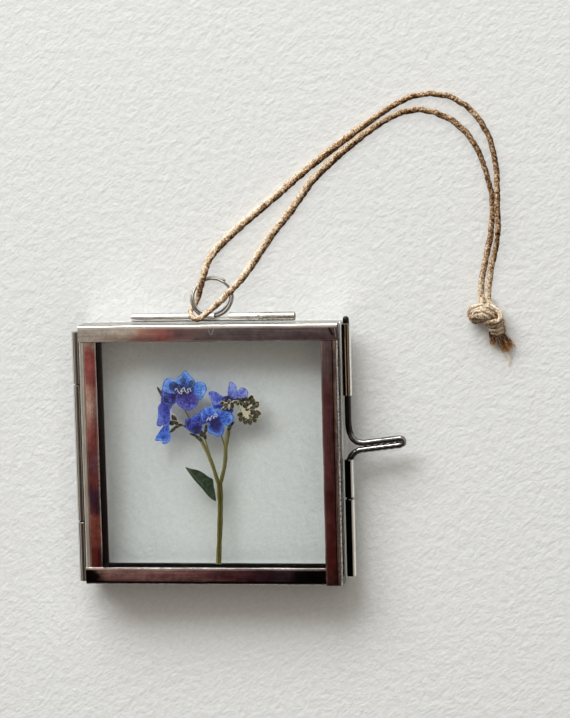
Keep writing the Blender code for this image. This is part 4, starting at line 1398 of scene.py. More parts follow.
def latch_route():
    """From the wire's top end down to the handle, round its tip, back and down to the lower end."""
    along = Vector((math.cos(HANDLE_SLOPE), math.sin(HANDLE_SLOPE)))
    across = Vector((-along.y, along.x))
    turn = [
        HANDLE_TIP + HANDLE_LOOP * (math.sin(a) * along + math.cos(a) * across)
        for a in (math.pi * i / TIP_STEPS for i in range(TIP_STEPS + 1))
    ]
    corners = [Vector((LATCH_X, (latch_high - MIDDLE).y / MM)), *map(Vector, HANDLE_OUT), *turn,
               *map(Vector, HANDLE_BACK), Vector((LATCH_X, (latch_low - MIDDLE).y / MM))]
    route = []
    for a, b in zip(corners, corners[1:]):
        steps = max(1, round((b - a).length / HANDLE_STEP))
        route += [a.lerp(b, i / steps) for i in range(steps)]
    route.append(corners[-1])
    smooth = [route[0], *[(a + b * 2 + c) / 4 for a, b, c in zip(route, route[1:], route[2:])], route[-1]]
    return [place(x, y, HALF_DEPTH) for x, y in smooth]


def plier_marks(spot):
    """Flats that pliers left along the lower run of the handle."""
    x, y = ((spot - MIDDLE) / MM).xy
    if x < LOWER_RUN_START or y > LOWER_RUN[1] + (x - LOWER_RUN[0]) * LOWER_RUN_SLOPE:
        return 1.0
    return 1 - PLIER_DEPTH * max(0.0, math.cos(math.tau * x / PLIER_BITES)) ** 3


latch = wire("bent_latch", latch_route(), LATCH_WIRE, UP, WIRE_METAL, plier_marks)
fit(latch, "latch", "latch_metal", "latch_wire")

# %% Put in the hinge pin
pin_low, pin_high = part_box("hinge_pin")
pin_middle = (pin_low + pin_high) / 2
pin_route = [Vector((pin_middle.x, y, pin_middle.z)) for y in (pin_low.y, pin_middle.y, pin_high.y)]
pin = wire("straight_pin", pin_route, (pin_high.x - pin_low.x) / MM, UP, WIRE_METAL)
fit(pin, "back_leaf", "tube_metal", "hinge_pin")

# %% [markdown]
# ## Pressed stalks
#
# A pressed stalk is a flattened tube. Its outer skin dries pale along both edges and dark along the
# fold in the middle. The sweep makes it again, this time with a wide low section that tapers. Each
# point keeps how far across the stalk it lies, so that the colours can run lengthwise.

# %% Measure and draw the stalks
stem_low, stem_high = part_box("sprig_stem")
LOW_LAYER = (stem_low.z + stem_high.z) / 2 / MM
PRESSED = (stem_high.z - stem_low.z) / MM
STALK_SIDES = 16
# Each stalk: its width at the foot and at the top, how pale it dried, and its route.
STALKS = {
    "sprig_stem": (1.0, 1.15, 0.0, [
        (0.42, -21.55), (0.62, -18.6), (0.86, -14.8), (1.06, -11.0), (1.1, -8.2), (1.04, -6.2),
        (1.0, -5.35)]),
    "sprig_branch_left": (0.78, 0.74, 0.45, [
        (0.78, -5.75), (0.45, -4.6), (0.0, -3.0), (-0.62, -1.2), (-1.3, 0.45), (-1.95, 1.7), (-2.45, 2.75)]),
    "sprig_branch_right": (0.78, 0.8, 0.4, [
        (1.3, -5.7), (1.68, -4.3), (2.08, -2.8), (2.36, -0.8), (2.45, 0.9), (2.72, 2.5), (3.1, 4.2)]),
    "sprig_stalk_left": (0.3, 0.3, 0.7, [(-0.3, -1.5), (-0.75, -0.1), (-1.1, 1.2), (-1.5, 2.45)]),
    "sprig_stalk_right": (0.28, 0.26, 0.7, [(2.3, 0.7), (2.14, 1.7), (1.9, 2.6), (1.62, 3.5)]),
    "sprig_stalk_top": (0.3, 0.34, 0.9, [(-4.35, 5.2), (-4.6, 6.8), (-5.1, 8.0), (-5.65, 8.95)]),
}
STALK_STEP = 0.35 * MM
print("pressed stalks:", round(PRESSED, 2), "mm thick")

# %% Colour the stalks
STALK_FINISH, tree, shader = finish("dried_stalk", Roughness=0.55, Specular_IOR_Level=0.2)
across = attribute(tree, "across")
fibres = cloud(tree, bench(tree, (3.2, 0.5, 3.2)), 1.6, detail=4, roughness=0.65)
lane = plus(tree, across, centred(tree, fibres, 0.5))
green = ramp(tree, lane, [
    (0.0, (154, 148, 96)), (0.12, (126, 122, 64)), (0.3, (96, 88, 30)), (0.46, (58, 54, 16)),
    (0.54, (46, 43, 13)), (0.7, (96, 90, 30)), (0.88, (64, 60, 18)), (1.0, (126, 124, 74))])
pale = ramp(tree, lane, [
    (0.0, (196, 188, 142)), (0.35, (186, 178, 126)), (0.6, (140, 134, 76)), (0.8, (74, 70, 34)),
    (1.0, (96, 92, 56))])
paint(tree, shader, mix(tree, attribute(tree, "tone"), green, pale))
raise_surface(tree, shader, fibres, 0.06)


# %% Press them
def stalk(name, node, foot, top, tone, points):
    route = smooth_route([place(*point, LOW_LAYER) for point in points], STALK_STEP)
    shape = bmesh.new()
    across_layer = shape.verts.layers.float.new("across")
    tone_layer = shape.verts.layers.float.new("tone")

    def section(share):
        width = (foot * (1 - share) + top * share) / 2
        width *= 1 + 0.05 * math.sin(share * 17) + 0.03 * math.sin(share * 41)
        angles = [math.tau * (i + 0.5) / STALK_SIDES for i in range(STALK_SIDES)]
        return [
            (width * math.cos(a), PRESSED / 2 * math.sin(a) * (0.55 + 0.45 * abs(math.cos(a)) ** 0.5))
            for a in angles
        ]

    loops = sweep(shape, route, UP, section)
    for i, loop in enumerate(loops):
        for j, vertex in enumerate(loop):
            vertex[across_layer] = 0.5 + 0.5 * math.cos(math.tau * (j + 0.5) / STALK_SIDES)
            vertex[tone_layer] = min(1.0, tone * (0.3 + i / len(loops)))
    made = new_piece(name, mesh_from(name, shape, outward=True), STALK_FINISH)
    return fit(made, "back_leaf", "dried_stem", node)


for node, (foot, top, tone, points) in STALKS.items():
    stalk(node.replace("sprig", "pressed"), node, foot, top, tone, points)

# %% [markdown]
# ## One blade for petals, sepals and the leaf
#
# All of them are thin blades that spread from a point. The outline is a smooth closed curve through a
# few points, and rings of vertices shrink it towards that point. So every vertex knows its reach,
# from 0 at the point to 1 at the rim, and its place in the fan of veins. The material needs nothing
# else to draw veins that spread and rims that fade. Solid thickness keeps the blade closed.

# %% Shape a blade
BLADE_RINGS = [0.05, 0.14, 0.25, 0.37, 0.49, 0.61, 0.73, 0.83, 0.91, 0.97, 1.0]
OUTLINE_STEPS = 6


def smooth_loop(points, steps):
    """The closed Catmull-Rom curve through a few (x, y) points."""
    corners = [Vector(point) for point in points]
    count = len(corners)
    loop = []
    for i in range(count):
        around = (corners[(i + k - 1) % count] for k in range(4))
        loop += curve_between(*around, steps)
    return loop


def start_blades():
    """A mesh to add blades to, with the values their materials read."""
    shape = bmesh.new()
    layers = {name: shape.verts.layers.float.new(name) for name in ("reach", "fan", "tone", "violet")}
    return shape, layers


def blade(shape, layers, base, outline, height, thick, form, tone=0.5, violet=0.5, steps=OUTLINE_STEPS):
    """Adds one closed blade. form(share, turn, spot) gives its height above the layer in millimetres."""
    base = Vector(base)
    rim = smooth_loop(outline, steps)
    turns = [math.atan2((p - base).y, (p - base).x) for p in rim]
    sheets = []
    for side in (1, -1):
        rows = []
        for share in (0.0, *BLADE_RINGS):
            row = []
            for spot, turn in zip(rim if share else rim[:1], turns):
                here = base.lerp(spot, share)
                half_thick = thick / 2 * (1 - 0.75 * share**4)
                z = height + form(share, turn, here) + side * half_thick
                vertex = shape.verts.new(place(here.x, here.y, z))
                vertex[layers["reach"]] = share
                vertex[layers["fan"]] = turn
                vertex[layers["tone"]] = tone
                vertex[layers["violet"]] = violet
                row.append(vertex)
            rows.append(row)
        for i in range(len(rim)):
            following = (i + 1) % len(rim)
            fan = (rows[0][0], rows[1][i], rows[1][following])
            shape.faces.new(fan if side > 0 else fan[::-1])
            for near, far in zip(rows[1:], rows[2:]):
                quad = (near[i], far[i], far[following], near[following])
                shape.faces.new(quad if side > 0 else quad[::-1])
        sheets.append(rows[-1])
    top, bottom = sheets
    for i in range(len(rim)):
        following = (i + 1) % len(rim)
        shape.faces.new((top[i], bottom[i], bottom[following], top[following]))


def finish_blades(name, shape, material, slot, *nodes):
    data = mesh_from(name, shape, outward=True)
    return fit(new_piece(name, data, material, crease=75), "back_leaf", slot, *nodes)


# %% [markdown]
# ## Petals
#
# Pressed forget-me-not petals are thin and uneven: sky blue where a single layer lies on the glass,
# violet to navy where they fold over each other and near the middle. The outlines are drawn one by
# one, because no two dried petals are alike. Each has two tones of its own, from pale to dark and
# from blue to violet. The material adds veins, mottling, round dark stains and a thin darker rim.

# %% Mix the petal colour
# Each stain: its middle, its radius in millimetres and how dark it is from 0 to 1.
STAINS = [
    ((-5.3, 14.05), 0.66, 0.8), ((-3.58, 13.5), 0.68, 0.92), ((-7.25, 12.95), 0.95, 0.85),
    ((-6.3, 12.4), 1.1, 0.85), ((-5.0, 12.5), 1.2, 0.72), ((-4.0, 12.3), 0.9, 0.72), ((-8.9, 11.9), 0.5, 0.5),
    ((0.7, 5.5), 1.3, 0.3), ((3.0, 10.4), 0.9, 0.75), ((3.8, 10.2), 0.8, 0.7), ((-3.2, 4.5), 0.8, 0.5),
    ((-8.9, 10.4), 0.8, 0.5), ((3.7, 8.2), 0.7, 0.35), ((-1.0, 6.0), 0.7, 0.45),
]


def distance_from(tree, spots, middle):
    """Millimetres from an (x, y) place on the bench."""
    flat = vector_calc(tree, "MULTIPLY", spots, (1.0, 1.0, 0.0))
    return vector_calc(tree, "DISTANCE", flat, (*middle, 0.0), output="Value")


PETAL, tree, shader = finish("dried_petal", Roughness=0.6, Sheen_Weight=0.05, Specular_IOR_Level=0.2)
spots = bench(tree)
reach = attribute(tree, "reach")
mottle = cloud(tree, spots, 1.5, detail=6, roughness=0.72)
fine = cloud(tree, spots, 5.0, detail=4, roughness=0.7)
fan = plus(tree, attribute(tree, "fan"), centred(tree, cloud(tree, spots, 1.0, detail=3), 1.6))
vein = calc(tree, "ABSOLUTE", calc(tree, "SINE", times(tree, fan, 6.0)))
vein = ramp(tree, vein, [(0.0, 1.0), (0.2, 0.0)])
small_vein = calc(tree, "ABSOLUTE", calc(tree, "SINE", times(tree, fan, 15.0)))
small_vein = times(tree, ramp(tree, small_vein, [(0.0, 1.0), (0.35, 0.0)]), 0.6)
vein = calc(tree, "MAXIMUM", vein, small_vein)
depth = plus(
    tree, times(tree, calc(tree, "SUBTRACT", 1.0, reach), 0.45),
    times(tree, attribute(tree, "tone"), 0.8), centred(tree, mottle, 1.7),
    centred(tree, fine, 1.4), times(tree, vein, 0.4))
blue = ramp(tree, depth, [
    (0.0, (132, 186, 250)), (0.2, (72, 138, 240)), (0.45, (38, 86, 220)), (0.7, (20, 38, 156)),
    (1.0, (6, 8, 60))])
violet = ramp(tree, depth, [
    (0.0, (184, 190, 248)), (0.25, (128, 132, 222)), (0.5, (90, 86, 184)), (0.75, (54, 46, 124)),
    (1.0, (16, 12, 52))])
base = mix(tree, attribute(tree, "violet"), blue, violet)
for middle, size, dark in STAINS:
    away = calc(tree, "DIVIDE", distance_from(tree, spots, middle), size)
    away = plus(tree, away, centred(tree, mottle, 0.7))
    stain = ramp(tree, away, [(0.0, 0.85 * dark), (0.7, 0.8 * dark), (0.86, dark), (1.0, 0.0)])
    base = mix(tree, stain, base, colour(6, 24, 70))
rim = ramp(tree, reach, [(0.84, 0.0), (0.9, 0.55), (0.93, 0.0)])
plain = calc(tree, "SUBTRACT", 1.0, times(tree, attribute(tree, "violet"), 0.85))
base = mix(tree, times(tree, rim, plain), base, colour(150, 194, 250))
rim = ramp(tree, reach, [(0.94, 0.0), (0.97, 0.55)])
base = mix(tree, rim, base, colour(30, 62, 168))
paint(tree, shader, base)
wrinkles = plus(tree, times(tree, vein, -0.6), fine, mottle)
raise_surface(tree, shader, wrinkles, 0.12)

# %% Outline the petals
flower_low, flower_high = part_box("flower_centre")
HIGH_LAYER = (flower_low.z + flower_high.z) / 2 / MM
PETAL_THICK = 0.07
# Each petal: its base, its tone, how violet it is, its lift in millimetres and its outline.
FLOWERS = {
    "flower_top_left": [
        ((-6.0, 11.6), 0.62, 0.6, -0.10, [
            (-5.9, 11.9), (-7.1, 12.1), (-8.7, 12.7), (-9.6, 12.3), (-9.6, 11.2), (-9.8, 9.9), (-9.1, 9.4),
            (-7.9, 9.3), (-7.0, 9.7), (-6.2, 10.7)]),
        ((-5.9, 12.2), 0.02, 0.12, -0.02, [
            (-6.6, 11.6), (-8.8, 11.8), (-9.5, 12.5), (-9.3, 13.4), (-9.0, 14.0), (-8.4, 14.5),
            (-7.2, 14.3), (-6.2, 14.0), (-5.6, 12.9)]),
        ((-4.4, 12.0), 0.0, 0.08, -0.04, [
            (-4.2, 12.9), (-3.1, 13.6), (-2.5, 13.8), (-1.4, 13.7), (-0.85, 13.0), (-0.8, 12.2), (-1.2, 11.3),
            (-1.9, 10.4), (-2.6, 10.3), (-3.6, 11.1)]),
        ((-5.0, 12.3), 0.0, 0.08, 0.07, [
            (-5.7, 12.2), (-6.5, 13.9), (-6.4, 14.6), (-5.6, 15.3), (-4.9, 16.05), (-4.2, 15.3),
            (-3.4, 14.5), (-3.0, 13.6), (-4.1, 12.2)]),
        ((-4.9, 11.9), 0.5, 0.85, 0.14, [
            (-3.9, 12.0), (-2.7, 11.2), (-2.4, 10.3), (-2.6, 9.5), (-3.2, 8.8), (-4.25, 8.25), (-5.1, 8.4),
            (-6.0, 9.0), (-6.6, 9.6), (-6.9, 10.7), (-6.1, 11.8)]),
    ],
    "flower_small": [
        ((-3.4, 4.9), 0.62, 0.4, -0.05, [
            (-3.7, 4.0), (-5.1, 4.9), (-5.2, 5.8), (-5.1, 6.6), (-4.4, 6.9), (-3.9, 6.6), (-3.4, 5.6)]),
        ((-3.1, 4.8), 0.5, 0.25, 0.03, [
            (-4.0, 5.4), (-3.9, 6.8), (-3.1, 7.55), (-2.4, 7.7), (-1.9, 7.5), (-2.1, 6.3), (-2.6, 4.9)]),
        ((-3.0, 4.6), 0.72, 0.45, 0.09, [
            (-4.2, 4.5), (-4.4, 5.6), (-3.4, 6.2), (-2.3, 6.1), (-1.8, 5.2), (-2.1, 4.4), (-2.65, 3.8),
            (-3.4, 3.75)]),
    ],
    "flower_centre": [
        ((0.3, 6.4), 0.5, 0.4, -0.08, [
            (0.1, 6.9), (-1.7, 6.0), (-2.4, 5.3), (-2.7, 7.2), (-2.0, 8.3), (-1.1, 8.4), (0.3, 7.6)]),
        ((0.4, 6.7), 0.14, 0.1, 0.0, [
            (0.55, 7.1), (-0.9, 6.5), (-1.8, 6.2), (-2.15, 7.4), (-1.9, 8.3), (-1.15, 8.85), (-0.3, 9.05),
            (0.25, 8.9), (0.7, 8.2), (0.8, 7.5)]),
        ((1.1, 7.0), 0.12, 0.08, 0.03, [
            (0.7, 7.9), (1.2, 8.8), (2.05, 8.3), (3.5, 8.0), (4.2, 7.4), (4.2, 6.4), (3.3, 5.35),
            (2.55, 5.45), (1.9, 6.3), (1.0, 6.9)]),
        ((0.6, 6.4), 0.14, 0.15, -0.03, [
            (0.2, 6.8), (-0.65, 5.95), (-0.85, 4.9), (-0.8, 4.05), (0.3, 3.6), (1.3, 3.15), (2.25, 3.9),
            (2.4, 5.2), (2.0, 6.5), (1.2, 7.1)]),
        ((0.75, 6.3), 0.72, 0.35, 0.1, [
            (0.85, 7.1), (0.1, 6.75), (-0.45, 6.1), (-0.5, 5.0), (-0.1, 4.5), (0.66, 4.2), (1.5, 4.1),
            (2.0, 5.1), (2.0, 6.1), (1.4, 7.0)]),
    ],
    "flower_upper_right": [
        ((1.0, 9.2), 0.3, 0.15, -0.08, [
            (0.3, 9.6), (1.2, 9.6), (2.1, 10.0), (2.2, 8.8), (1.2, 7.9), (0.55, 8.1)]),
        ((3.2, 10.6), 0.0, 0.7, -0.02, [
            (4.0, 10.8), (3.3, 11.3), (3.4, 12.6), (3.75, 13.75), (4.5, 13.45), (5.05, 12.7), (5.0, 11.8),
            (4.5, 11.0)]),
        ((3.7, 10.5), 0.02, 0.75, 0.03, [
            (4.4, 11.1), (5.1, 11.9), (5.7, 12.55), (6.3, 12.65), (7.1, 12.1), (7.2, 11.2), (6.5, 10.7),
            (5.4, 10.9), (4.6, 10.5)]),
        ((2.4, 10.1), 0.22, 0.6, 0.07, [
            (2.7, 10.4), (2.1, 11.1), (1.0, 11.85), (-0.1, 11.95), (-0.45, 11.55), (-0.2, 10.7), (0.1, 10.0),
            (0.3, 9.4), (1.2, 9.35), (2.2, 9.8)]),
        ((3.0, 10.1), 0.8, 0.9, 0.0, [
            (1.9, 10.6), (2.7, 11.0), (4.0, 11.0), (4.3, 10.2), (3.3, 9.4), (2.1, 9.5)]),
        ((3.0, 8.8), 0.55, 0.3, -0.1, [
            (2.1, 9.3), (3.5, 9.2), (4.3, 8.3), (3.7, 7.6), (2.5, 7.7), (2.0, 8.2)]),
    ],
    "flower_hanging": [
        ((-8.8, 9.8), 0.32, 0.6, 0.3, [
            (-8.2, 10.6), (-9.4, 10.9), (-9.8, 9.9), (-10.45, 8.9), (-10.5, 7.4), (-10.8, 5.6), (-10.3, 5.2),
            (-9.9, 5.3), (-9.2, 6.4), (-8.5, 8.2)]),
        ((-8.9, 9.5), 0.38, 0.5, 0.42, [
            (-8.9, 10.6), (-7.6, 9.5), (-8.1, 8.2), (-8.05, 6.7), (-8.5, 5.3), (-9.4, 5.0), (-9.8, 6.4),
            (-9.8, 8.4)]),
        ((-9.2, 5.6), 0.12, 0.1, 0.36, [
            (-8.5, 5.5), (-8.2, 3.9), (-8.3, 2.5), (-9.1, 1.85), (-9.5, 2.2), (-9.3, 4.2)]),
        ((-9.5, 5.2), 0.15, 0.05, 0.3, [
            (-9.1, 5.2), (-9.2, 3.4), (-9.3, 1.85), (-9.85, 1.9), (-10.05, 2.4), (-11.05, 2.4),
            (-11.15, 2.9), (-10.1, 4.5)]),
    ],
}
print("petals outlined:", sum(len(petals) for petals in FLOWERS.values()))


# %% Draw the petals
def petal_form(lift, seed):
    """A petal's lie: its lift, a slow wave, a rim that curls here and there, and pleats at the rim."""
    def form(share, turn, spot):
        wave = 0.11 * noise.noise(Vector((spot.x * 1.1, spot.y * 1.1, seed)))
        curl = 0.1 * share**3 * noise.noise(Vector((turn * 1.3, seed, 0)))
        pleat = 0.05 * math.sin(turn * 9 + seed) * share
        return lift + wave + curl + pleat
    return form


for node, petals in FLOWERS.items():
    shape, layers = start_blades()
    height = LOW_LAYER if node == "flower_hanging" else HIGH_LAYER
    for number, (base, tone, violet, lift, outline) in enumerate(petals):
        seed = number + len(node)
        form = petal_form(lift, seed)
        blade(shape, layers, base, outline, height, PETAL_THICK, form, tone, violet)
    finish_blades(node.replace("flower", "petals"), shape, PETAL, "dried_petal", node)

# %% [markdown]
# ## The white eyes
#
# A forget-me-not has a ring of small pale scales round its throat. Dried and pressed they have become
# a crumpled white line. A small low section, swept along a smooth route like the twine's, draws it.

# %% Draw the eyes
EYES = {
    "eye_top_left": [
        (-6.95, 12.15), (-6.6, 12.6), (-6.3, 12.0), (-6.0, 11.65), (-5.6, 11.6), (-5.6, 12.3), (-5.1, 12.7),
        (-5.0, 12.2), (-4.6, 11.7), (-4.3, 11.8), (-4.45, 12.4), (-4.0, 12.5), (-3.8, 11.95)],
    "eye_centre": [
        (-0.95, 6.2), (-0.7, 6.75), (-0.4, 6.85), (-0.27, 6.4), (-0.1, 6.9), (0.12, 7.25), (0.4, 7.2),
        (0.5, 6.75), (0.63, 7.4), (0.93, 7.65), (1.2, 7.4), (1.0, 7.0)],
}
EYE_LIFT = 0.3
EYE_RADIUS = 0.085
EYE_STEP = 0.12 * MM
EYE_WHITE, tree, shader = finish("eye_white", Roughness=0.7)
speck = cloud(tree, bench(tree), 3.0, detail=3)
paint(tree, shader, ramp(tree, speck, [
    (0.3, (120, 124, 190)), (0.45, (214, 210, 226)), (0.7, (246, 240, 226))]))
raise_surface(tree, shader, speck, 0.05)


def crumpled_section(share):
    """A low cord whose width swings to and fro along it."""
    wide = 0.75 + 0.45 * math.sin(share * 47) ** 2
    return [(u * wide, v * 0.7) for u, v in circle(EYE_RADIUS, 8)]


for name, points in EYES.items():
    route = smooth_route([place(*point, HIGH_LAYER + EYE_LIFT) for point in points], EYE_STEP)
    shape = bmesh.new()
    sweep(shape, route, UP, crumpled_section)
    fit(new_piece(name, mesh_from(name, shape, outward=True), EYE_WHITE), "back_leaf", "dried_petal")

# %% [markdown]
# ## Sepals and buds
#
# Buds and calyces are small pointed ovals: dark green where they are thick, darker still just inside
# their cream rim, which sets each one off from its neighbours. The blade makes them too, domed this
# time. Each is given by its middle, its heading, its length and its width.

# %% Mix the sepal colour
SEPAL, tree, shader = finish("dried_sepal", Roughness=0.75, Specular_IOR_Level=0.2)
spots = bench(tree)
reach = attribute(tree, "reach")
edge_noise = centred(tree, cloud(tree, spots, 3.0, detail=4), 0.35)
rim = ramp(tree, plus(tree, reach, edge_noise), [(0.74, 0.0), (0.87, 1.0)])
heart = ramp(tree, cloud(tree, spots, 2.2, detail=5), [
    (0.3, (18, 22, 14)), (0.5, (56, 62, 44)), (0.7, (128, 130, 98))])
outline = ramp(tree, plus(tree, reach, edge_noise), [(0.4, 0.0), (0.62, 0.8), (0.76, 0.8)])
heart = mix(tree, outline, heart, colour(10, 12, 8))
cream = cloud(tree, spots, 4.0, detail=3)
cream = ramp(tree, cream, [(0.3, (196, 184, 148)), (0.7, (248, 240, 214))])
tone = attribute(tree, "tone")
share = calc(tree, "MAXIMUM", times(tree, rim, tone), calc(tree, "SUBTRACT", tone, 1.0))
paint(tree, shader, mix(tree, share, heart, cream))
raise_surface(tree, shader, cloud(tree, spots, 5.0, detail=3), 0.08)

# %% Place the sepals
# Each sepal: (middle x, middle y, heading in degrees, length, width, pale rim). A 2 is pale all over.
SEPALS = {
    "bud_cluster_right": [
        (6.3, 7.7, 250, 2.6, 0.6, 2), (6.9, 7.2, 300, 2.4, 0.4, 2), (7.2, 7.9, 350, 2.2, 0.4, 2),
        (6.6, 8.6, 60, 2.6, 0.5, 2), (5.5, 8.7, 100, 2.4, 0.4, 2), (7.4, 9.0, 40, 2.2, 0.4, 2),
        (5.73, 6.65, 235, 1.71, 1.43, 0.9), (6.5, 6.15, 262, 1.59, 1.23, 1),
        (7.35, 6.05, 285, 1.59, 1.23, 1), (8.1, 6.5, 312, 1.71, 1.43, 1), (8.8, 7.65, 0, 1.77, 1.49, 1),
        (8.0, 7.9, 5, 1.59, 1.3, 0.9), (7.95, 8.65, 35, 1.71, 1.37, 0.9),
        (8.65, 9.35, 40, 1.71, 1.43, 1), (8.0, 9.85, 55, 1.59, 1.3, 1), (7.35, 9.3, 50, 1.65, 1.3, 0.9),
        (7.75, 10.5, 80, 1.52, 1.23, 1), (6.7, 9.3, 65, 1.71, 1.3, 0.9),
        (5.85, 9.75, 100, 1.71, 1.23, 0.9), (5.2, 10.4, 115, 1.71, 1.37, 1),
        (4.5, 10.65, 150, 1.59, 1.17, 1), (5.72, 11.1, 85, 1.59, 1.3, 1),
        (6.45, 10.6, 50, 1.65, 1.23, 1), (5.5, 7.4, 190, 1.34, 1.1, 0.8),
        (7.5, 6.9, 320, 1.28, 0.98, 0.9), (6.9, 8.45, 50, 1.4, 1.04, 0.9),
        (8.5, 7.05, 340, 1.28, 1.04, 1), (7.0, 10.1, 70, 1.46, 1.1, 1),
        (5.0, 9.7, 120, 1.22, 0.91, 0.8)],
    "bud_cluster_left": [
        (-7.4, 6.75, 118, 1.8, 1.2, 1), (-8.0, 5.85, 176, 1.7, 1.1, 0.9), (-7.1, 5.9, 150, 1.6, 0.9, 0.9),
        (-7.75, 4.5, 222, 1.9, 0.75, 0.9), (-7.0, 5.1, 200, 1.5, 0.65, 0.6), (-6.2, 5.5, 165, 1.2, 0.6, 0.4),
        (-5.45, 5.2, 150, 1.2, 0.35, 0.2)],
    "calyx_left": [
        (-3.7, 3.5, 160, 1.8, 0.5, 0.1), (-2.8, 2.95, 140, 2.0, 0.7, 0.1), (-2.2, 3.9, 110, 1.8, 1.0, 0.35),
        (-1.25, 4.7, 82, 2.0, 0.75, 0.9), (-1.5, 3.4, 95, 1.8, 0.7, 0.5)],
    "calyx_right": [
        (3.35, 4.9, 65, 1.7, 0.7, 0.2), (3.8, 5.6, 45, 1.4, 0.6, 0.2), (3.2, 5.5, 95, 1.2, 0.4, 0.4)],
    "sepal_tip": [(-10.1, 12.0, 120, 1.9, 0.55, 0.1), (-9.75, 11.5, 110, 1.4, 0.6, 0.1)],
    None: [
        (2.1, 9.75, 200, 1.2, 0.6, 1), (2.9, 9.2, 245, 1.35, 0.95, 1), (2.4, 8.6, 215, 1.1, 0.55, 1),
        (4.15, 9.25, 275, 1.5, 0.85, 0.8), (3.5, 9.9, 250, 1.1, 0.6, 0.6), (3.55, 8.9, 265, 1.0, 0.3, 2),
        (4.8, 9.9, 20, 1.2, 0.6, 0.8)],
}
print("sepals and buds:", sum(len(sepals) for sepals in SEPALS.values()))

# %% Draw the sepals
OVAL_POINTS = 12
OVAL_TAPER = 0.28
SEPAL_THICK = 0.16
SEPAL_DOME = 0.16
SEPAL_STEP = 0.06
LOW_SEPALS = LOW_LAYER + 0.05
HIGH_SEPALS = HIGH_LAYER + 0.25


def oval(x, y, heading, length, width):
    """A pointed oval of (x, y) points round its middle, blunt at the foot and sharp at the tip."""
    along = Vector((math.cos(math.radians(heading)), math.sin(math.radians(heading))))
    side = Vector((-along.y, along.x))
    points = []
    for a in (math.tau * i / OVAL_POINTS for i in range(OVAL_POINTS)):
        taper = 1 - OVAL_TAPER * math.cos(a)
        ahead = along * length / 2 * math.cos(a)
        points.append(Vector((x, y)) + ahead + side * width / 2 * math.sin(a) * taper)
    return points


def dome(lift):
    def form(share, turn, spot):
        return lift + SEPAL_DOME * (1 - share**2)
    return form


sepal_pieces = []
for node, sepals in SEPALS.items():
    shape, layers = start_blades()
    height = LOW_SEPALS if node else HIGH_SEPALS
    for number, (*middle, heading, length, width, pale_rim) in enumerate(sepals):
        outline = oval(*middle, heading, length, width)
        form = dome(SEPAL_STEP * (number % 3))
        blade(shape, layers, middle, outline, height, SEPAL_THICK, form, pale_rim, steps=2)
    nodes = [node] if node else []
    name = f"pressed_{node or 'upper_calyx'}"
    sepal_pieces.append(finish_blades(name, shape, SEPAL, "dried_calyx", *nodes))

# %% [markdown]
# The hairs come from the tree that made the frayed ends, run on a copy of each finished cluster. Only
# the length, the spread and the density differ, which is what a tree's named inputs are for.

# %% Grow the hairs of the buds
HAIR = bpy.data.materials.new("bud_hair")
for number, piece in enumerate(sepal_pieces):
    hairs = grow(
        f"{piece.name}_hairs", piece.data.copy(), on_surface, material=HAIR, density=7.0e6,
        fibre_length=0.5 * MM, fibre_radius=0.014 * MM, spread=1.0, bend=0.3, seed=20 + number,
    )
    fit(hairs, "back_leaf", "dried_calyx")

# %% [markdown]
# ## The leaf
#
# One lance-shaped leaf lies beside the stem. It dried almost black-green, darkest along the rim. A
# paler midrib runs from its base to the tip, and side veins leave it at a slant. The blade spreads
# from the base, so the fan value doubles as the direction of the veins.

# %% Press the leaf
LEAF_OUTLINE = [
    (-5.5, -2.7), (-4.6, -3.0), (-3.3, -3.25), (-2.2, -3.75), (-1.1, -4.55), (-0.2, -5.1), (-0.15, -6.2),
    (0.1, -7.4), (0.28, -9.2), (-0.2, -9.1), (-1.2, -8.3), (-2.45, -6.75), (-3.75, -5.3), (-4.85, -3.8)]
LEAF_BASE = (0.05, -8.75)
LEAF_TIP = (-5.45, -2.75)
LEAF_THICK = 0.12
MIDRIB_WAY = math.atan2(LEAF_TIP[1] - LEAF_BASE[1], LEAF_TIP[0] - LEAF_BASE[0])
LEAF_GREEN, tree, shader = finish("dried_leaf", Roughness=0.55, Specular_IOR_Level=0.2)
spots = bench(tree)
reach = attribute(tree, "reach")
off_rib = calc(tree, "ABSOLUTE", calc(tree, "SUBTRACT", attribute(tree, "fan"), MIDRIB_WAY))
rib = ramp(tree, off_rib, [(0.0, 1.0), (0.045, 0.0)])
slant = calc(tree, "SUBTRACT", times(tree, reach, 30.0), times(tree, off_rib, 26.0))
side_vein = ramp(tree, calc(tree, "SINE", slant), [(0.8, 0.0), (1.0, 0.6)])
mottle = cloud(tree, spots, 1.6, detail=5, roughness=0.65)
green = ramp(tree, mottle, [
    (0.3, (18, 32, 20)), (0.5, (30, 52, 32)), (0.66, (50, 70, 48)), (0.8, (88, 100, 78))])
veins = calc(tree, "MAXIMUM", rib, side_vein)
green = mix(tree, times(tree, veins, 0.5), green, colour(96, 108, 84))
rim = ramp(tree, reach, [(0.9, 0.0), (1.0, 0.85)])
paint(tree, shader, mix(tree, rim, green, colour(16, 28, 18)))
raise_surface(tree, shader, plus(tree, veins, mottle), 0.08)


def leaf_form(share, turn, spot):
    """A low fold along the midrib, and a slow wave that grows towards the rim."""
    rib_fold = 0.07 * math.exp(-abs(turn - MIDRIB_WAY) * 9)
    wave = 0.07 * noise.noise(Vector((spot.x * 0.7, spot.y * 0.7, 5.0)))
    return 0.02 + rib_fold * share + wave * share


shape, layers = start_blades()
blade(shape, layers, LEAF_BASE, LEAF_OUTLINE, LOW_LAYER, LEAF_THICK, leaf_form)
finish_blades("pressed_leaf", shape, LEAF_GREEN, "dried_leaf", "sprig_leaf")

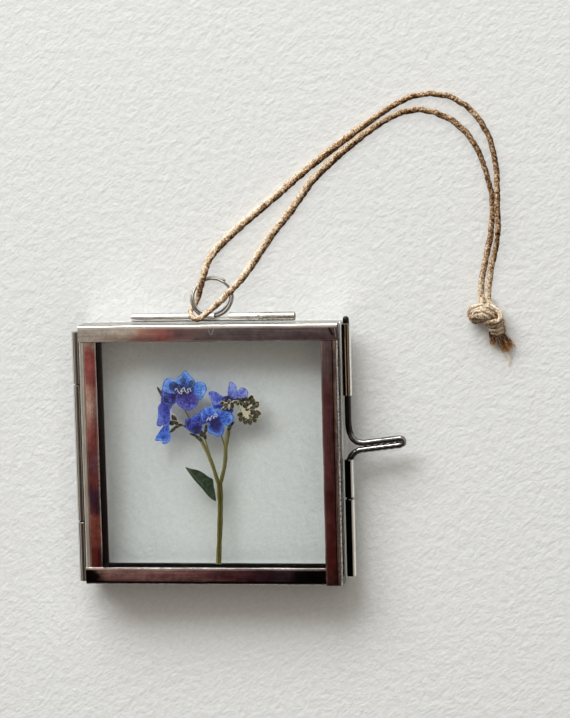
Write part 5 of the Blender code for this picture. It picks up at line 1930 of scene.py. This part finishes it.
# %% [markdown]
# ## The colours of jute
#
# Jute is tan with darker strands. The same strand noise sets the colour and raises the bump, so the
# yarn is painted cream where it is raised and deep brown in the grooves: partly the jute's own darker
# strands, partly painted shade. The twist tree kept two values on every vertex: how far along the
# yarn it is, and where round it. Together they form a space in which noise can be stretched along
# the yarn, so it looks like fibre. A third value says how far the vertex lies towards the window
# side, which is painted paler, a painted highlight. The far end of the loop is painted darker brown,
# and the yarn round the knot paler. Jute is dull, so hardly any of the sky may shine on it.

# %% Mix the jute colours
DARKER_END = (43.0, 62.0)
DARKER_END_REACH = 36.0
PALER_KNOT = (53.0, 25.0)
PALER_KNOT_REACH = 16.0


def jute(material, stops, bump_depth):
    tree, shader = dress(material, Roughness=0.9, Specular_IOR_Level=0.1, Sheen_Weight=0.05)
    around = attribute(tree, "around", output="Vector")
    along = times(tree, attribute(tree, "along"), 0.9)
    stacked = add_node(tree, "ShaderNodeCombineXYZ", {2: along})
    where = vector_calc(tree, "ADD", around, stacked)
    spots = bench(tree)
    strands = cloud(tree, where, 3.4, detail=4, roughness=0.7)
    flecks = ramp(tree, cloud(tree, spots, 3.2, detail=3, roughness=0.6), [(0.4, 0.0), (0.6, 1.0)])
    patches = cloud(tree, spots, 0.8, detail=3, roughness=0.6)
    darker_end = calc(tree, "DIVIDE", distance_from(tree, spots, DARKER_END), DARKER_END_REACH)
    paler_knot = calc(tree, "DIVIDE", distance_from(tree, spots, PALER_KNOT), PALER_KNOT_REACH)
    # A painted highlight on the lit side, a darker far end and a paler knot join the strand noise.
    mixed = plus(
        tree, times(tree, strands, 0.62), times(tree, flecks, 0.1),
        times(tree, patches, 0.28), times(tree, attribute(tree, "lit_side"), 0.13),
        ramp(tree, darker_end, [(0.45, 0.0), (1.0, 0.05)]), ramp(tree, paler_knot, [(0.3, 0.055), (1.0, 0.0)]))
    mixed = calc(tree, "SUBTRACT", mixed, 0.13)
    paint(tree, shader, ramp(tree, mixed, stops))
    # The same strand noise raises the bump, so its grooves are painted darker: painted shade.
    raise_surface(tree, shader, strands, bump_depth)


jute(TWINE_FINISH, [
    (0.34, (62, 34, 12)), (0.41, (128, 89, 54)), (0.47, (188, 151, 111)), (0.54, (234, 211, 177)),
    (0.62, (253, 244, 227))], 0.3)

# %% Colour the loose fibres, the frayed ends and the hairs
for material, stops in (
    (STRAY_FINISH, [(0.0, (176, 140, 98)), (1.0, (240, 224, 194))]),
    (TUFT_FINISH, [(0.0, (24, 10, 5)), (0.5, (74, 36, 17)), (0.8, (134, 78, 38)),
                   (1.0, (212, 166, 108))]),
    (HAIR, [(0.0, (170, 160, 130)), (1.0, (236, 228, 206))]),
):
    tree, shader = dress(material, Roughness=0.8, Specular_IOR_Level=0.1)
    uneven = centred(tree, cloud(tree, bench(tree), 1.8, detail=3), 0.5)
    fade = plus(tree, attribute(tree, "along"), uneven)
    paint(tree, shader, ramp(tree, fade, stops))
